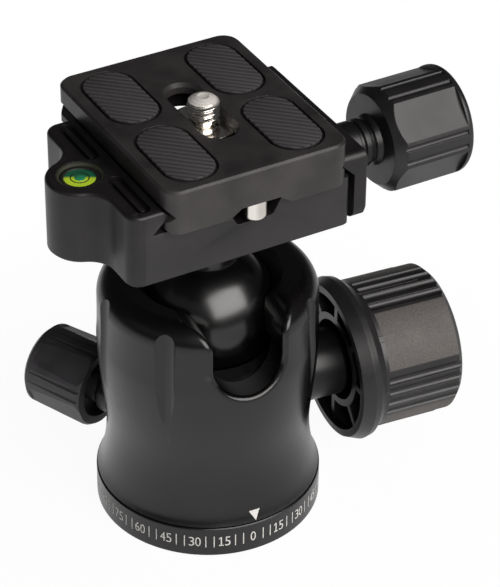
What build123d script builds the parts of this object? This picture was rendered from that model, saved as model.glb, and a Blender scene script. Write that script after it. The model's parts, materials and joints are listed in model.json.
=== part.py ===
"""Tripod ball head with a screw clamp and a quick release plate.

Frame: +Z is the pan axis, z = 0 is the underside of the base, X runs across
the clamp jaws (the clamp knob is at +X) and Y runs along the plate's slide.
The housing stands turned by `swivel` about the pan axis.
Sizes are in millimetres.
"""

import os
from math import cos, radians, sin, sqrt, tan

from build123d import *

os.makedirs("parts", exist_ok=True)

# ---------------------------------------------------------------- clearances
running = 0.06         # radial, shaft in bore
sliding = 0.15         # between faces that slide
seat_gap = 0.1         # between a piece and the face it rests on
cut_margin = 1.0       # how far a cutter stands out of what it cuts

# ---------------------------------------------------------------- base
swivel = -5.6          # degrees, housing against the clamp
base_radius = 23.0
base_height = 7.1
base_edge = 0.45
seam = 0.25            # open seam between base and housing
hub_height = 9.3       # hub above the base's top face
groove_depth = 1.4     # vee groove that the pan brake presses into
groove_half = 1.8
neck_radius = 9.0
neck_height = 1.2
foot_recess = 0.6      # the base stands on its rim and its centre
foot_rim = 2.6
foot_centre_radius = 9.6

stud_thread_radius = 4.8      # 3/8 inch thread, over its crests, with clearance
stud_thread_length = 9.0
bush_wall = 2.2
bush_slot_width = 1.6
bush_slot_depth = 1.2

# ---------------------------------------------------------------- housing
bore_radius = 16.4
foot_step = 0.25       # the housing's foot stands in from the base
foot_bend = 1.35       # the bend stands in from the foot
foot_bend_height = 11.6
waist_radius = 20.7
waist_height = 19.5
hip_radius = 21.55
hip_height = 28.6
belly_radius = 22.3
belly_height = 40.0
shoulder_radius = 22.05
shoulder_fillet = 4.6
ball_height = 45.5
rim_over_ball = 8.8    # the rim's top above the ball's middle
housing_height = ball_height + rim_over_ball
shoulder_height = housing_height - shoulder_fillet
rim_bevel = 2.3
rim_opening_radius = 14.8

flute_cutter_radius = 3.2
flute_floor_radius = 21.9     # at the low end
flute_lean = 2.4       # degrees, the floor leans in towards the shoulder
flute_angles = [45, 90, 135, 180, 225, 315]
flute_low = 30.0

ball_radius = 14.0
ball_gap = 0.12        # between the ball and its upper seat
opening_gap = 0.35     # between the ball and the rim of its opening

stem_radius = 6.0
notch_clearance = 1.1
notch_mouth_radius = shoulder_fillet + 0.9
notch_flare = 75.0     # degrees, turn of the mouth at the rim's top
notch_overrun = 8.0    # degrees, turn of the cutter past the top
notch_edge = 1.0

liner_height = 4.6
liner_shelf = 1.2      # housing material over the liner
lip_gap = 0.05

floor_gap = 0.35
pan_washer_thickness = 0.3
floor_thickness = 1.8
floor_web = 0.8
retainer_radius = 12.0
retainer_thickness = 0.9
retainer_screw_radius = 1.95
retainer_screw_head = 2.7
retainer_screw_length = 5.0
retainer_hole_margin = 1.0    # hole past the screw's end

# ---------------------------------------------------------------- ball lock
lock_axis_height = 24.2
lock_spindle_radius = 3.95
lock_bush_radius = 7.0
lock_bush_shank = 5.5
lock_bush_length = 9.3
lock_spot_s = 19.2          # spotface, from the pan axis
wedge_slope = 20.0          # degrees
wedge_half_length = 9.0
wedge_half_width = 7.0
wedge_mid_height = 26.0     # top of the wedge on the pan axis
cup_top = 39.1
cup_seat_gap = 0.3
cup_slope_gap = 0.08
cup_foot = 22.0
cup_foot_radius = 12.0

lock_knob_rear = 27.3
lock_flange_rear_radius = 16.3
lock_flange_radius = 17.3
lock_flange_front = 31.2
lock_grip_radius = 15.5
lock_grip_rear = 33.0
lock_knob_front = 50.7
lock_knob_wall = 1.9
lock_hub_radius = 10.1
lock_hub_wall = 1.5
lock_cavity_end = 46.5
lock_rib_count = 8
lock_rib_width = 1.3
lock_hub_rear = 28.4
lock_rib_length = 6.0
lock_pilot_radius = 2.4
lock_pilot_length = 6.0
lock_panel_count = 4
lock_panel_centre = 138.5   # degrees up from the +tangent
lock_ridge_pitch = 9.6      # degrees
lock_groove_radius = 1.0
lock_rim_width = 1.5
lock_front_edge = 1.2
lock_core_rear = 35.0     # solid core of the knob starts here
lock_spindle_end = 45.0
lock_cap_radius = 12.2
cap_thickness = 1.3

# ---------------------------------------------------------------- pan lock
pan_axis_height = 13.9
pan_angle = 121.5           # degrees from the ball lock knob
pan_spindle_radius = 2.45
pan_bush_radius = 4.9
pan_bush_shank = 3.7
pan_bush_length = 6.6
pan_spot_radius_at = 19.2
pan_knob_rear = 26.9
pan_knob_front = 41.9
pan_rear_radius = 9.1
pan_front_radius = 8.75
pan_rear_recess_radius = 6.9
pan_rear_recess = 2.4
pan_facet_inset = 0.62
pan_facet_count = 5
pan_facet_centre = 49.0
pan_front_land = 1.6
pan_spindle_end = 38.5
pan_shoe_radius = 2.3
pan_shoe_end = 21.0
pan_cap_radius = 6.4

# ---------------------------------------------------------------- clamp
clamp_bottom = 69.4
clamp_thickness = 15.6
clamp_top = clamp_bottom + clamp_thickness
channel_depth_under_top = 4.6    # floor of the plate's channel
clamp_half_length = 18.65
clamp_left = -26.0
clamp_right = 20.7
clamp_corner = 3.0
clamp_edge = 0.8
clamp_foot_edge = 0.5
clamp_right_corner = 1.2
lip_reach = 18.3            # tip of each lip from the clamp's middle
lip_bevel = 1.1
stem_collar_radius = 7.2
stem_collar_height = 1.6

level_x = -27.1
level_radius = 4.55
level_boss_wall = 2.05
level_boss_blend = 5.5
level_depth = 5.2
level_ring_wall = 0.65
level_sink = 0.15           # ring below the clamp's top

finger_recess_width = 3.0
finger_recess_length = 13.7
finger_recess_x = -22.2
finger_recess_y = 10.4
finger_recess_depth = 1.1
finger_rib_width = 1.0
finger_rib_drop = 0.3

stop_recess_width = 7.6       # at its floor
stop_recess_angle = 62.0
stop_recess_depth = 3.2
stop_recess_length = 5.4
stop_recess_round = 1.0

jaw_gap = 0.9
jaw_thickness = 3.0
jaw_bottom = clamp_bottom + 0.5
jaw_bottom_round = 2.7
jaw_edge = 0.5
jaw_corner = 1.6

# clamp screw, guide pins and springs
screw_drop = 1.2            # clamp screw's axis under the middle of the body
screw_y = 0.0
clamp_screw_radius = 2.95
clamp_screw_start = 5.2
clamp_screw_hole_start = 3.6
guide_y = 12.0
guide_radius = 1.5
guide_length = 14.0

clamp_knob_rear = 36.6
clamp_knob_front = 54.3
clamp_knob_radius = 11.2
clamp_disc_radius = 9.3
clamp_cone_length = 2.1
clamp_facet_inset = 0.78
clamp_facet_count = 5
clamp_facet_centre = 137.0
clamp_rim = 0.4             # full round left at the outer end
clamp_cap_radius = 8.4
clamp_front_round = 1.2
clamp_screw_end = 50.0
neck_outer = 5.6
neck_inner = 4.9
neck_groove = 0.45

stem_screw_radius = 2.5
stem_screw_head = 4.75
stem_screw_head_height = 2.4
stem_screw_depth = 7.0
stem_screw_key = 2.3

# ---------------------------------------------------------------- plate
plate_width = 39.0
plate_length = 47.2
plate_y = 2.75              # plate centre from the clamp's centre, as it stands
plate_thickness = 9.2
plate_corner = 3.6
plate_bevel = 0.45
plate_slab = 3.7            # height of its upright side
plate_neck_half = 17.65     # bottom of the vee groove
plate_tail_half = 19.1
plate_tail_corner = 0.7

pad_width = 10.9
pad_length = 20.2
pad_corner = 5.15
pad_x = 11.35
pad_y = 11.3
pad_bed = 0.8
pad_proud = 0.25
pad_gap = 0.2
pad_edge = 0.25

slot_width = 6.6
slot_length = 20.8
slot_chamfer = 0.7
slot_web = 2.1
stud_radius = 3.175         # 1/4 inch camera screw
stud_height = 3.7           # above the plate
stud_tip_chamfer = 0.35
stud_tip_dish = 2.0
stud_neck_radius = 2.85     # relieved neck that runs in the slot
stud_neck_rise = 0.35       # the thread starts this far above the plate
stud_y = -1.0               # from the plate's centre, as it stands
washer_radius = 6.7
washer_thickness = 0.5
flange_radius = 7.0
flange_thickness = 1.2
head_radius = 5.6
head_height = 2.6
coin_slot_width = 1.6
coin_slot_depth = 1.8
pocket_clearance = 0.5

stop_pin_radius = 2.3
stop_pin_inset = 2.45       # pin axis from the end of the plate
stop_pin_drop = 2.6         # below the plate
stop_pin_seat = 2.6         # length held in the plate
stop_pin_round = 0.9
channel_width = 13.0        # under the plate, at its mouth
channel_depth = 1.7
channel_angle = 35.0

# ---------------------------------------------------------------- derived
clamp_floor = clamp_top - channel_depth_under_top
screw_height = (clamp_bottom + clamp_floor) / 2 - screw_drop
plate_bottom = clamp_floor + seat_gap
plate_top = plate_bottom + plate_thickness
web_bottom = plate_top - slot_web
washer_top = web_bottom - seat_gap / 2
flange_top = washer_top - washer_thickness - seat_gap / 2
hub_radius = bore_radius - running
hub_top = base_height + hub_height
pan_washer_bottom = hub_top + seat_gap / 2
floor_bottom = hub_top + floor_gap
floor_top = floor_bottom + floor_thickness
neck_top = floor_bottom + floor_web + seat_gap / 2
housing_bottom = base_height + seam
foot_radius = base_radius - foot_step
foot_bend_radius = foot_radius - foot_bend
notch_radius = stem_radius + notch_clearance
notch_height = ball_height
liner_top = housing_height - rim_bevel - liner_shelf
seat_radius = ball_radius + ball_gap
opening_radius = (
    sqrt(ball_radius**2 - (housing_height - rim_bevel - ball_height) ** 2)
    + opening_gap
)
shelf_radius = sqrt(ball_radius**2 - (liner_top - ball_height) ** 2) + opening_gap
wedge_bottom = floor_top + sliding
jaw_inner = clamp_right + jaw_gap
jaw_outer = jaw_inner + jaw_thickness
lock_bush_end = lock_spot_s + lock_bush_length
wedge_mid = wedge_mid_height - lock_axis_height
pan_shoe_tip = hub_radius - groove_depth + 0.35
slab_foot = plate_top - plate_slab
neck_level = slab_foot - (plate_width / 2 - plate_neck_half)
tail_level = neck_level - (plate_tail_half - plate_neck_half)
lip_foot = plate_neck_half + neck_level + sliding * sqrt(2) - clamp_floor
head_bottom = flange_top - flange_thickness - head_height
stop_pin_y = plate_length / 2 - stop_pin_inset
stem_top = clamp_bottom - seat_gap / 2


def facing(angle, height):
    """Plane on the pan axis that faces outwards; its y is up."""
    outwards = (cos(radians(angle)), sin(radians(angle)), 0)
    tangent = (-sin(radians(angle)), cos(radians(angle)), 0)
    return Plane(origin=(0, 0, height), x_dir=tangent, z_dir=outwards)


def along(angle, height):
    """Upright plane that holds an outward axis as its x; its y is up."""
    outwards = (cos(radians(angle)), sin(radians(angle)), 0)
    tangent = (-sin(radians(angle)), cos(radians(angle)), 0)
    return Plane(
        origin=(0, 0, height),
        x_dir=outwards,
        z_dir=(-tangent[0], -tangent[1], 0),
    )


def leaning(angle, radius, height):
    """Plane at a radius, square to an upright line that leans in by flute_lean."""
    side = along(angle, height)
    return Plane(
        origin=side.from_local_coords(Vector(radius, 0, 0)),
        x_dir=side.x_dir * cos(radians(flute_lean)) + side.y_dir * sin(radians(flute_lean)),
        z_dir=side.y_dir * cos(radians(flute_lean)) - side.x_dir * sin(radians(flute_lean)),
    )


def spin_axis(plane):
    """Axis along the x direction of an upright plane."""
    return Axis(plane.origin, plane.x_dir)


lock_face = facing(swivel, lock_axis_height)
lock_side = along(swivel, lock_axis_height)
pan_face = facing(swivel + pan_angle, pan_axis_height)
pan_side = along(swivel + pan_angle, pan_axis_height)
clamp_face = Plane(origin=(0, screw_y, screw_height), x_dir=(0, 1, 0), z_dir=(1, 0, 0))
clamp_side = Plane(origin=(0, screw_y, screw_height), x_dir=(1, 0, 0), z_dir=(0, -1, 0))
notch_face = facing(swivel - 90, 0)
plate_end = Plane(origin=(0, plate_y, 0), x_dir=(1, 0, 0), z_dir=(0, -1, 0))
stud_side = plate_end.offset(-stud_y)


def deck(height):
    """Level plane at the middle of the plate."""
    return Plane(origin=(0, plate_y, height))



# ================================================================ base
with BuildPart() as base_ring:
    with BuildSketch(Plane.XZ):
        with BuildLine():
            Polyline(
                (0, 0),
                (base_radius - base_edge, 0),
                (base_radius, base_edge),
                (base_radius, base_height - base_edge / 2),
                (base_radius - base_edge / 2, base_height),
                (hub_radius, base_height),
                (hub_radius, pan_axis_height - groove_half),
                (hub_radius - groove_depth, pan_axis_height),
                (hub_radius, pan_axis_height + groove_half),
                (hub_radius, hub_top),
                (neck_radius, hub_top),
                (neck_radius, neck_top),
                (0, neck_top),
                close=True,
            )
        make_face()
    revolve(axis=Axis.Z)
    with BuildSketch(Plane.XY):
        Circle(base_radius - foot_rim)
        Circle(foot_centre_radius, mode=Mode.SUBTRACT)
    extrude(amount=foot_recess, mode=Mode.SUBTRACT)
    with BuildSketch(Plane.XY):
        Circle(stud_thread_radius + bush_wall)
    extrude(amount=stud_thread_length, mode=Mode.SUBTRACT)
    with BuildSketch(Plane.XY.offset(neck_top)):
        Circle(retainer_screw_radius + seat_gap)
    extrude(amount=-(retainer_screw_length + retainer_hole_margin), mode=Mode.SUBTRACT)

with BuildPart() as stud_bush:
    with BuildSketch(Plane.XY):
        Circle(stud_thread_radius + bush_wall)
        Circle(stud_thread_radius, mode=Mode.SUBTRACT)
    extrude(amount=stud_thread_length)
    chamfer(
        stud_bush.edges()
        .filter_by(GeomType.CIRCLE)
        .group_by(Axis.Z)[0]
        .sort_by(SortBy.RADIUS)[0],
        length=0.5,
    )
    with BuildSketch(Plane.XY):
        Rectangle(2 * (stud_thread_radius + bush_wall) + cut_margin, bush_slot_width)
    extrude(amount=bush_slot_depth, mode=Mode.SUBTRACT)

with BuildPart() as pan_washer:
    with BuildSketch(Plane.XY.offset(pan_washer_bottom)):
        Circle(hub_radius - sliding)
        Circle(neck_radius + sliding, mode=Mode.SUBTRACT)
    extrude(amount=floor_bottom - pan_washer_bottom)

with BuildPart() as pan_retainer:
    with BuildSketch(Plane.XY.offset(neck_top)):
        Circle(retainer_radius)
    extrude(amount=retainer_thickness)
    with Locations((0, 0, neck_top + retainer_thickness)):
        CounterSinkHole(
            radius=retainer_screw_radius + seat_gap / 2,
            counter_sink_radius=retainer_screw_head + seat_gap,
        )

with BuildPart() as retainer_screw:
    with BuildSketch(Plane.XZ):
        with BuildLine():
            head_level = neck_top + retainer_thickness - seat_gap / 2
            head_flare = retainer_screw_head - retainer_screw_radius
            Polyline(
                (0, neck_top - retainer_screw_length),
                (retainer_screw_radius, neck_top - retainer_screw_length),
                (retainer_screw_radius, head_level - head_flare),
                (retainer_screw_head, head_level),
                (0, head_level),
                close=True,
            )
        make_face()
    revolve(axis=Axis.Z)

# ================================================================ housing
with BuildPart() as housing:
    with BuildSketch(Plane.XZ):
        with BuildLine():
            flank = Spline(
                (foot_radius, housing_bottom),
                (foot_bend_radius, foot_bend_height),
                (waist_radius, waist_height),
                (hip_radius, hip_height),
                (belly_radius, belly_height),
                (shoulder_radius, shoulder_height),
                tangents=((-0.55, 1), (0, 1)),
            )
            rim = RadiusArc(
                flank @ 1,
                (shoulder_radius - shoulder_fillet, housing_height),
                -shoulder_fillet,
            )
            Polyline(
                rim @ 1,
                (rim_opening_radius, housing_height),
                (opening_radius, housing_height - rim_bevel),
                (shelf_radius, liner_top),
                (bore_radius, liner_top),
                (bore_radius, housing_bottom),
                flank @ 0,
            )
        make_face()
    revolve(axis=Axis.Z)
    # lens-shaped flutes: a leaning cutter only reaches the belly
    for flute_angle in flute_angles:
        with BuildSketch(leaning(swivel + flute_angle, flute_floor_radius, flute_low)):
            with Locations((flute_cutter_radius, 0)):
                Circle(flute_cutter_radius)
        extrude(amount=housing_height - flute_low, mode=Mode.SUBTRACT)
    # drop notch for the stem, its mouth rounded into the rim
    with BuildSketch(notch_face):
        with BuildLine():
            mouth = housing_height - notch_mouth_radius * sin(radians(notch_flare))
            right = Line((notch_radius, notch_height), (notch_radius, mouth))
            flare = JernArc(
                right @ 1, right % 1, notch_mouth_radius, -notch_flare - notch_overrun
            )
            brink = Line(flare @ 1, (flare @ 1) + Vector(cut_margin, cut_margin))
            Line(brink @ 1, (0, (brink @ 1).Y))
            mirror(about=Plane.YZ)
            ThreePointArc(
                (-notch_radius, notch_height),
                (0, notch_height - notch_radius),
                (notch_radius, notch_height),
            )
        make_face()
    extrude(amount=belly_radius + cut_margin, mode=Mode.SUBTRACT)
    notch_edges = [
        edge
        for edge in housing.edges()
        if abs(edge.center().dot(notch_face.x_dir)) < notch_radius + notch_mouth_radius
        and edge.center().Z > notch_height - notch_radius - cut_margin
        and (
            edge.geom_type == GeomType.BSPLINE
            and edge.center().dot(notch_face.z_dir) > bore_radius + notch_edge
            or edge.geom_type == GeomType.LINE
            and edge.center().dot(notch_face.z_dir) > bore_radius / 2
            and abs(edge.center().Z - housing_height) < running
        )
    ]
    fillet(notch_edges, radius=notch_edge)
    # seats of the two threaded bushes
    with BuildSketch(lock_face):
        Circle(lock_bush_shank)
    extrude(amount=base_radius, mode=Mode.SUBTRACT)
    with BuildSketch(lock_face.offset(lock_spot_s)):
        Circle(lock_bush_radius)
    extrude(amount=base_radius, mode=Mode.SUBTRACT)
    with BuildSketch(pan_face):
        Circle(pan_bush_shank)
    extrude(amount=base_radius, mode=Mode.SUBTRACT)
    with BuildSketch(pan_face.offset(pan_spot_radius_at)):
        Circle(pan_bush_radius)
    extrude(amount=base_radius, mode=Mode.SUBTRACT)

with BuildPart() as ball_liner:
    with BuildSketch(Plane.XY.offset(liner_top - liner_height)):
        Circle(bore_radius)
    extrude(amount=liner_height)
    with Locations((0, 0, ball_height)):
        Sphere(seat_radius, mode=Mode.SUBTRACT)
    with BuildSketch(notch_face):
        with Locations((0, housing_height)):
            Rectangle(2 * notch_radius, 2 * (housing_height - notch_height))
    extrude(amount=base_radius, mode=Mode.SUBTRACT)

with BuildPart() as floor_plate:
    with BuildSketch(Plane.XY.offset(floor_bottom)):
        Circle(bore_radius)
        Circle(neck_radius + running, mode=Mode.SUBTRACT)
    extrude(amount=floor_thickness)
    with BuildSketch(Plane.XY.offset(floor_bottom + floor_web)):
        Circle(retainer_radius + sliding)
    extrude(amount=floor_thickness, mode=Mode.SUBTRACT)

# ================================================================ ball lock
with BuildPart() as lock_bush:
    with BuildSketch(lock_face.offset(bore_radius + seat_gap)):
        Circle(lock_bush_shank)
    extrude(amount=lock_spot_s - bore_radius - seat_gap)
    with BuildSketch(lock_face.offset(lock_spot_s)):
        Circle(lock_bush_radius)
    extrude(amount=lock_bush_length)
    fillet(
        lock_bush.faces().sort_by(Axis((0, 0, 0), lock_face.z_dir))[-1].edges(),
        radius=0.8,
    )
    with BuildSketch(lock_face):
        Circle(lock_spindle_radius + running)
    extrude(amount=lock_bush_end + cut_margin, mode=Mode.SUBTRACT)

with BuildPart() as lock_wedge:
    with BuildSketch(lock_side):
        with BuildLine():
            rise = wedge_half_length * tan(radians(wedge_slope))
            Polyline(
                (-wedge_half_length, wedge_bottom - lock_axis_height),
                (wedge_half_length, wedge_bottom - lock_axis_height),
                (wedge_half_length, wedge_mid_height + rise - lock_axis_height),
                (-wedge_half_length, wedge_mid_height - rise - lock_axis_height),
                close=True,
            )
        make_face()
    extrude(amount=wedge_half_width, both=True)
    with BuildSketch(lock_face.offset(wedge_half_length - lock_pilot_length)):
        Circle(lock_pilot_radius + running)
    extrude(amount=lock_pilot_length, mode=Mode.SUBTRACT)

with BuildPart() as ball_cup:
    with BuildSketch(Plane.XZ):
        with BuildLine():
            Polyline(
                (0, cup_foot),
                (cup_foot_radius, cup_foot),
                (bore_radius - sliding, cup_foot + 3.0),
                (bore_radius - sliding, cup_top),
                (0, cup_top),
                close=True,
            )
        make_face()
    revolve(axis=Axis.Z)
    with Locations((0, 0, ball_height)):
        Sphere(ball_radius + cup_seat_gap, mode=Mode.SUBTRACT)
    # underside runs up the wedge
    with BuildSketch(lock_side):
        with BuildLine():
            reach = base_radius
            lift = cup_slope_gap / cos(radians(wedge_slope))
            Polyline(
                (-reach, -reach),
                (reach, -reach),
                (reach, wedge_mid + reach * tan(radians(wedge_slope)) + lift),
                (-reach, wedge_mid - reach * tan(radians(wedge_slope)) + lift),
                close=True,
            )
        make_face()
    extrude(amount=wedge_half_width + sliding, both=True, mode=Mode.SUBTRACT)

with BuildPart() as lock_spindle:
    with BuildSketch(lock_side):
        with BuildLine():
            Polyline(
                (wedge_half_length - lock_pilot_length + 0.5, 0),
                (wedge_half_length - lock_pilot_length + 0.5, lock_pilot_radius),
                (wedge_half_length + seat_gap / 2, lock_pilot_radius),
                (wedge_half_length + seat_gap / 2, lock_spindle_radius - 0.5),
                (wedge_half_length + seat_gap / 2 + 0.5, lock_spindle_radius),
                (lock_spindle_end, lock_spindle_radius),
                (lock_spindle_end, 0),
                close=True,
            )
        make_face()
    revolve(axis=spin_axis(lock_side))

with BuildPart() as lock_knob:
    with BuildSketch(lock_side):
        with BuildLine():
            Polyline(
                (lock_knob_rear, lock_flange_rear_radius - lock_rim_width),
                (lock_knob_rear, lock_flange_rear_radius),
                (lock_flange_front - 1.4, lock_flange_radius),
                (lock_flange_front, lock_flange_radius - 0.3),
                (lock_grip_rear, lock_grip_radius),
                (lock_knob_front - lock_front_edge, lock_grip_radius),
                (lock_knob_front, lock_grip_radius - lock_front_edge),
                (lock_knob_front, 0),
                (lock_cavity_end, 0),
                (lock_cavity_end, lock_grip_radius - lock_knob_wall),
                (lock_grip_rear + 1.2, lock_grip_radius - lock_knob_wall),
                (lock_flange_front - 1.6, lock_flange_radius - lock_knob_wall),
                close=True,
            )
        make_face()
    revolve(axis=spin_axis(lock_side))
    # hub sleeve and the ribs that tie it to the wall
    with BuildSketch(lock_face.offset(lock_hub_rear)):
        Circle(lock_hub_radius)
        Circle(lock_hub_radius - lock_hub_wall, mode=Mode.SUBTRACT)
        with PolarLocations(0, lock_rib_count):
            with Locations((lock_hub_radius + lock_rib_length / 2 - 0.5, 0)):
                Rectangle(lock_rib_length, lock_rib_width)
    extrude(amount=lock_cavity_end - lock_hub_rear)
    with BuildSketch(lock_face.offset(lock_core_rear)):
        Circle(lock_hub_radius - lock_hub_wall / 2)
    extrude(amount=lock_cavity_end - lock_core_rear)
    # ridges between four smooth panels
    with BuildSketch(lock_face.offset(lock_grip_rear + 0.6)):
        with PolarLocations(0, lock_panel_count, lock_panel_centre + 45):
            for step in (-1.5, -0.5, 0.5, 1.5):
                with PolarLocations(lock_grip_radius + 0.35, 1, step * lock_ridge_pitch):
                    Circle(lock_groove_radius)
    extrude(amount=lock_knob_front, mode=Mode.SUBTRACT)
    with BuildSketch(lock_face.offset(lock_core_rear)):
        Circle(lock_spindle_radius)
    extrude(amount=lock_spindle_end - lock_core_rear, mode=Mode.SUBTRACT)
    with BuildSketch(lock_face.offset(lock_knob_front)):
        Circle(lock_cap_radius)
    extrude(amount=-cap_thickness, mode=Mode.SUBTRACT)

with BuildPart() as lock_knob_cap:
    with BuildSketch(lock_face.offset(lock_knob_front - cap_thickness)):
        Circle(lock_cap_radius - 0.05)
    extrude(amount=cap_thickness - 0.15)
    fillet(
        lock_knob_cap.faces().sort_by(Axis((0, 0, 0), lock_face.z_dir))[-1].edges(),
        radius=0.4,
    )

# ================================================================ pan lock
with BuildPart() as pan_bush:
    with BuildSketch(pan_face.offset(bore_radius + seat_gap)):
        Circle(pan_bush_shank)
    extrude(amount=pan_spot_radius_at - bore_radius - seat_gap)
    with BuildSketch(pan_face.offset(pan_spot_radius_at)):
        Circle(pan_bush_radius)
    extrude(amount=pan_bush_length)
    fillet(
        pan_bush.faces().sort_by(Axis((0, 0, 0), pan_face.z_dir))[-1].edges(),
        radius=0.6,
    )
    with BuildSketch(pan_face):
        Circle(pan_spindle_radius + running)
    extrude(amount=base_radius + pan_bush_length, mode=Mode.SUBTRACT)

with BuildPart() as pan_shoe:
    with BuildSketch(pan_side):
        with BuildLine():
            Polyline(
                (pan_shoe_tip, 0),
                (pan_shoe_tip, 0.5),
                (pan_shoe_tip + pan_shoe_radius - 0.5, pan_shoe_radius),
                (pan_shoe_end, pan_shoe_radius),
                (pan_shoe_end, 0),
                close=True,
            )
        make_face()
    revolve(axis=spin_axis(pan_side))

with BuildPart() as pan_spindle:
    with BuildSketch(pan_face.offset(pan_shoe_end + seat_gap / 2)):
        Circle(pan_spindle_radius)
    extrude(amount=pan_spindle_end - pan_shoe_end - seat_gap / 2)

with BuildPart() as pan_knob:
    with BuildSketch(pan_side):
        with BuildLine():
            Polyline(
                (pan_knob_rear, 0),
                (pan_knob_rear, pan_rear_radius - 0.5),
                (pan_knob_rear + 0.8, pan_rear_radius),
                (pan_knob_front - 0.9, pan_front_radius),
                (pan_knob_front, pan_front_radius - 0.9),
                (pan_knob_front, 0),
                close=True,
            )
        make_face()
    revolve(axis=spin_axis(pan_side))
    with BuildSketch(pan_face.offset(pan_knob_rear)):
        Circle(pan_rear_recess_radius)
        Circle(pan_bush_radius - 1.0, mode=Mode.SUBTRACT)
    extrude(amount=pan_rear_recess, mode=Mode.SUBTRACT)
    # finger facets, each run out short of the front edge
    with BuildSketch(pan_face.offset(pan_knob_rear)):
        with PolarLocations(
            pan_rear_radius - pan_facet_inset + 2.0, pan_facet_count, pan_facet_centre
        ):
            Rectangle(4.0, 4 * pan_rear_radius / pan_facet_count)
        with PolarLocations(
            pan_rear_radius, pan_facet_count, pan_facet_centre + 180 / pan_facet_count
        ):
            with Locations((0, 1.15), (0, -1.15)):
                Circle(0.5)
    extrude(
        amount=pan_knob_front - pan_knob_rear - pan_front_land, mode=Mode.SUBTRACT
    )
    with BuildSketch(pan_face.offset(pan_knob_rear)):
        Circle(pan_spindle_radius)
    extrude(amount=pan_spindle_end - pan_knob_rear, mode=Mode.SUBTRACT)
    with BuildSketch(pan_face.offset(pan_knob_front)):
        Circle(pan_cap_radius)
    extrude(amount=-cap_thickness, mode=Mode.SUBTRACT)

with BuildPart() as pan_knob_cap:
    with BuildSketch(pan_face.offset(pan_knob_front - cap_thickness)):
        Circle(pan_cap_radius - 0.05)
    extrude(amount=cap_thickness - 0.15)
    fillet(
        pan_knob_cap.faces().sort_by(Axis((0, 0, 0), pan_face.z_dir))[-1].edges(),
        radius=0.4,
    )

# ================================================================ ball
with BuildPart() as ball:
    with BuildSketch(Plane.XZ):
        with BuildLine():
            neck_start = ball_height + sqrt(ball_radius**2 - stem_radius**2)
            globe = ThreePointArc(
                (0, ball_height - ball_radius),
                (
                    ball_radius * cos(radians(-10)),
                    ball_height + ball_radius * sin(radians(-10)),
                ),
                (stem_radius, neck_start),
            )
            Polyline(
                globe @ 1,
                (stem_radius, stem_top - stem_collar_height),
                (stem_collar_radius, stem_top - stem_collar_height / 2),
                (stem_collar_radius, stem_top),
                (0, stem_top),
                (0, ball_height - ball_radius),
            )
        make_face()
    revolve(axis=Axis.Z)
    with BuildSketch(Plane.XY.offset(stem_top)):
        Circle(stem_screw_radius + running)
    extrude(amount=-stem_screw_depth - 0.5, mode=Mode.SUBTRACT)

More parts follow.
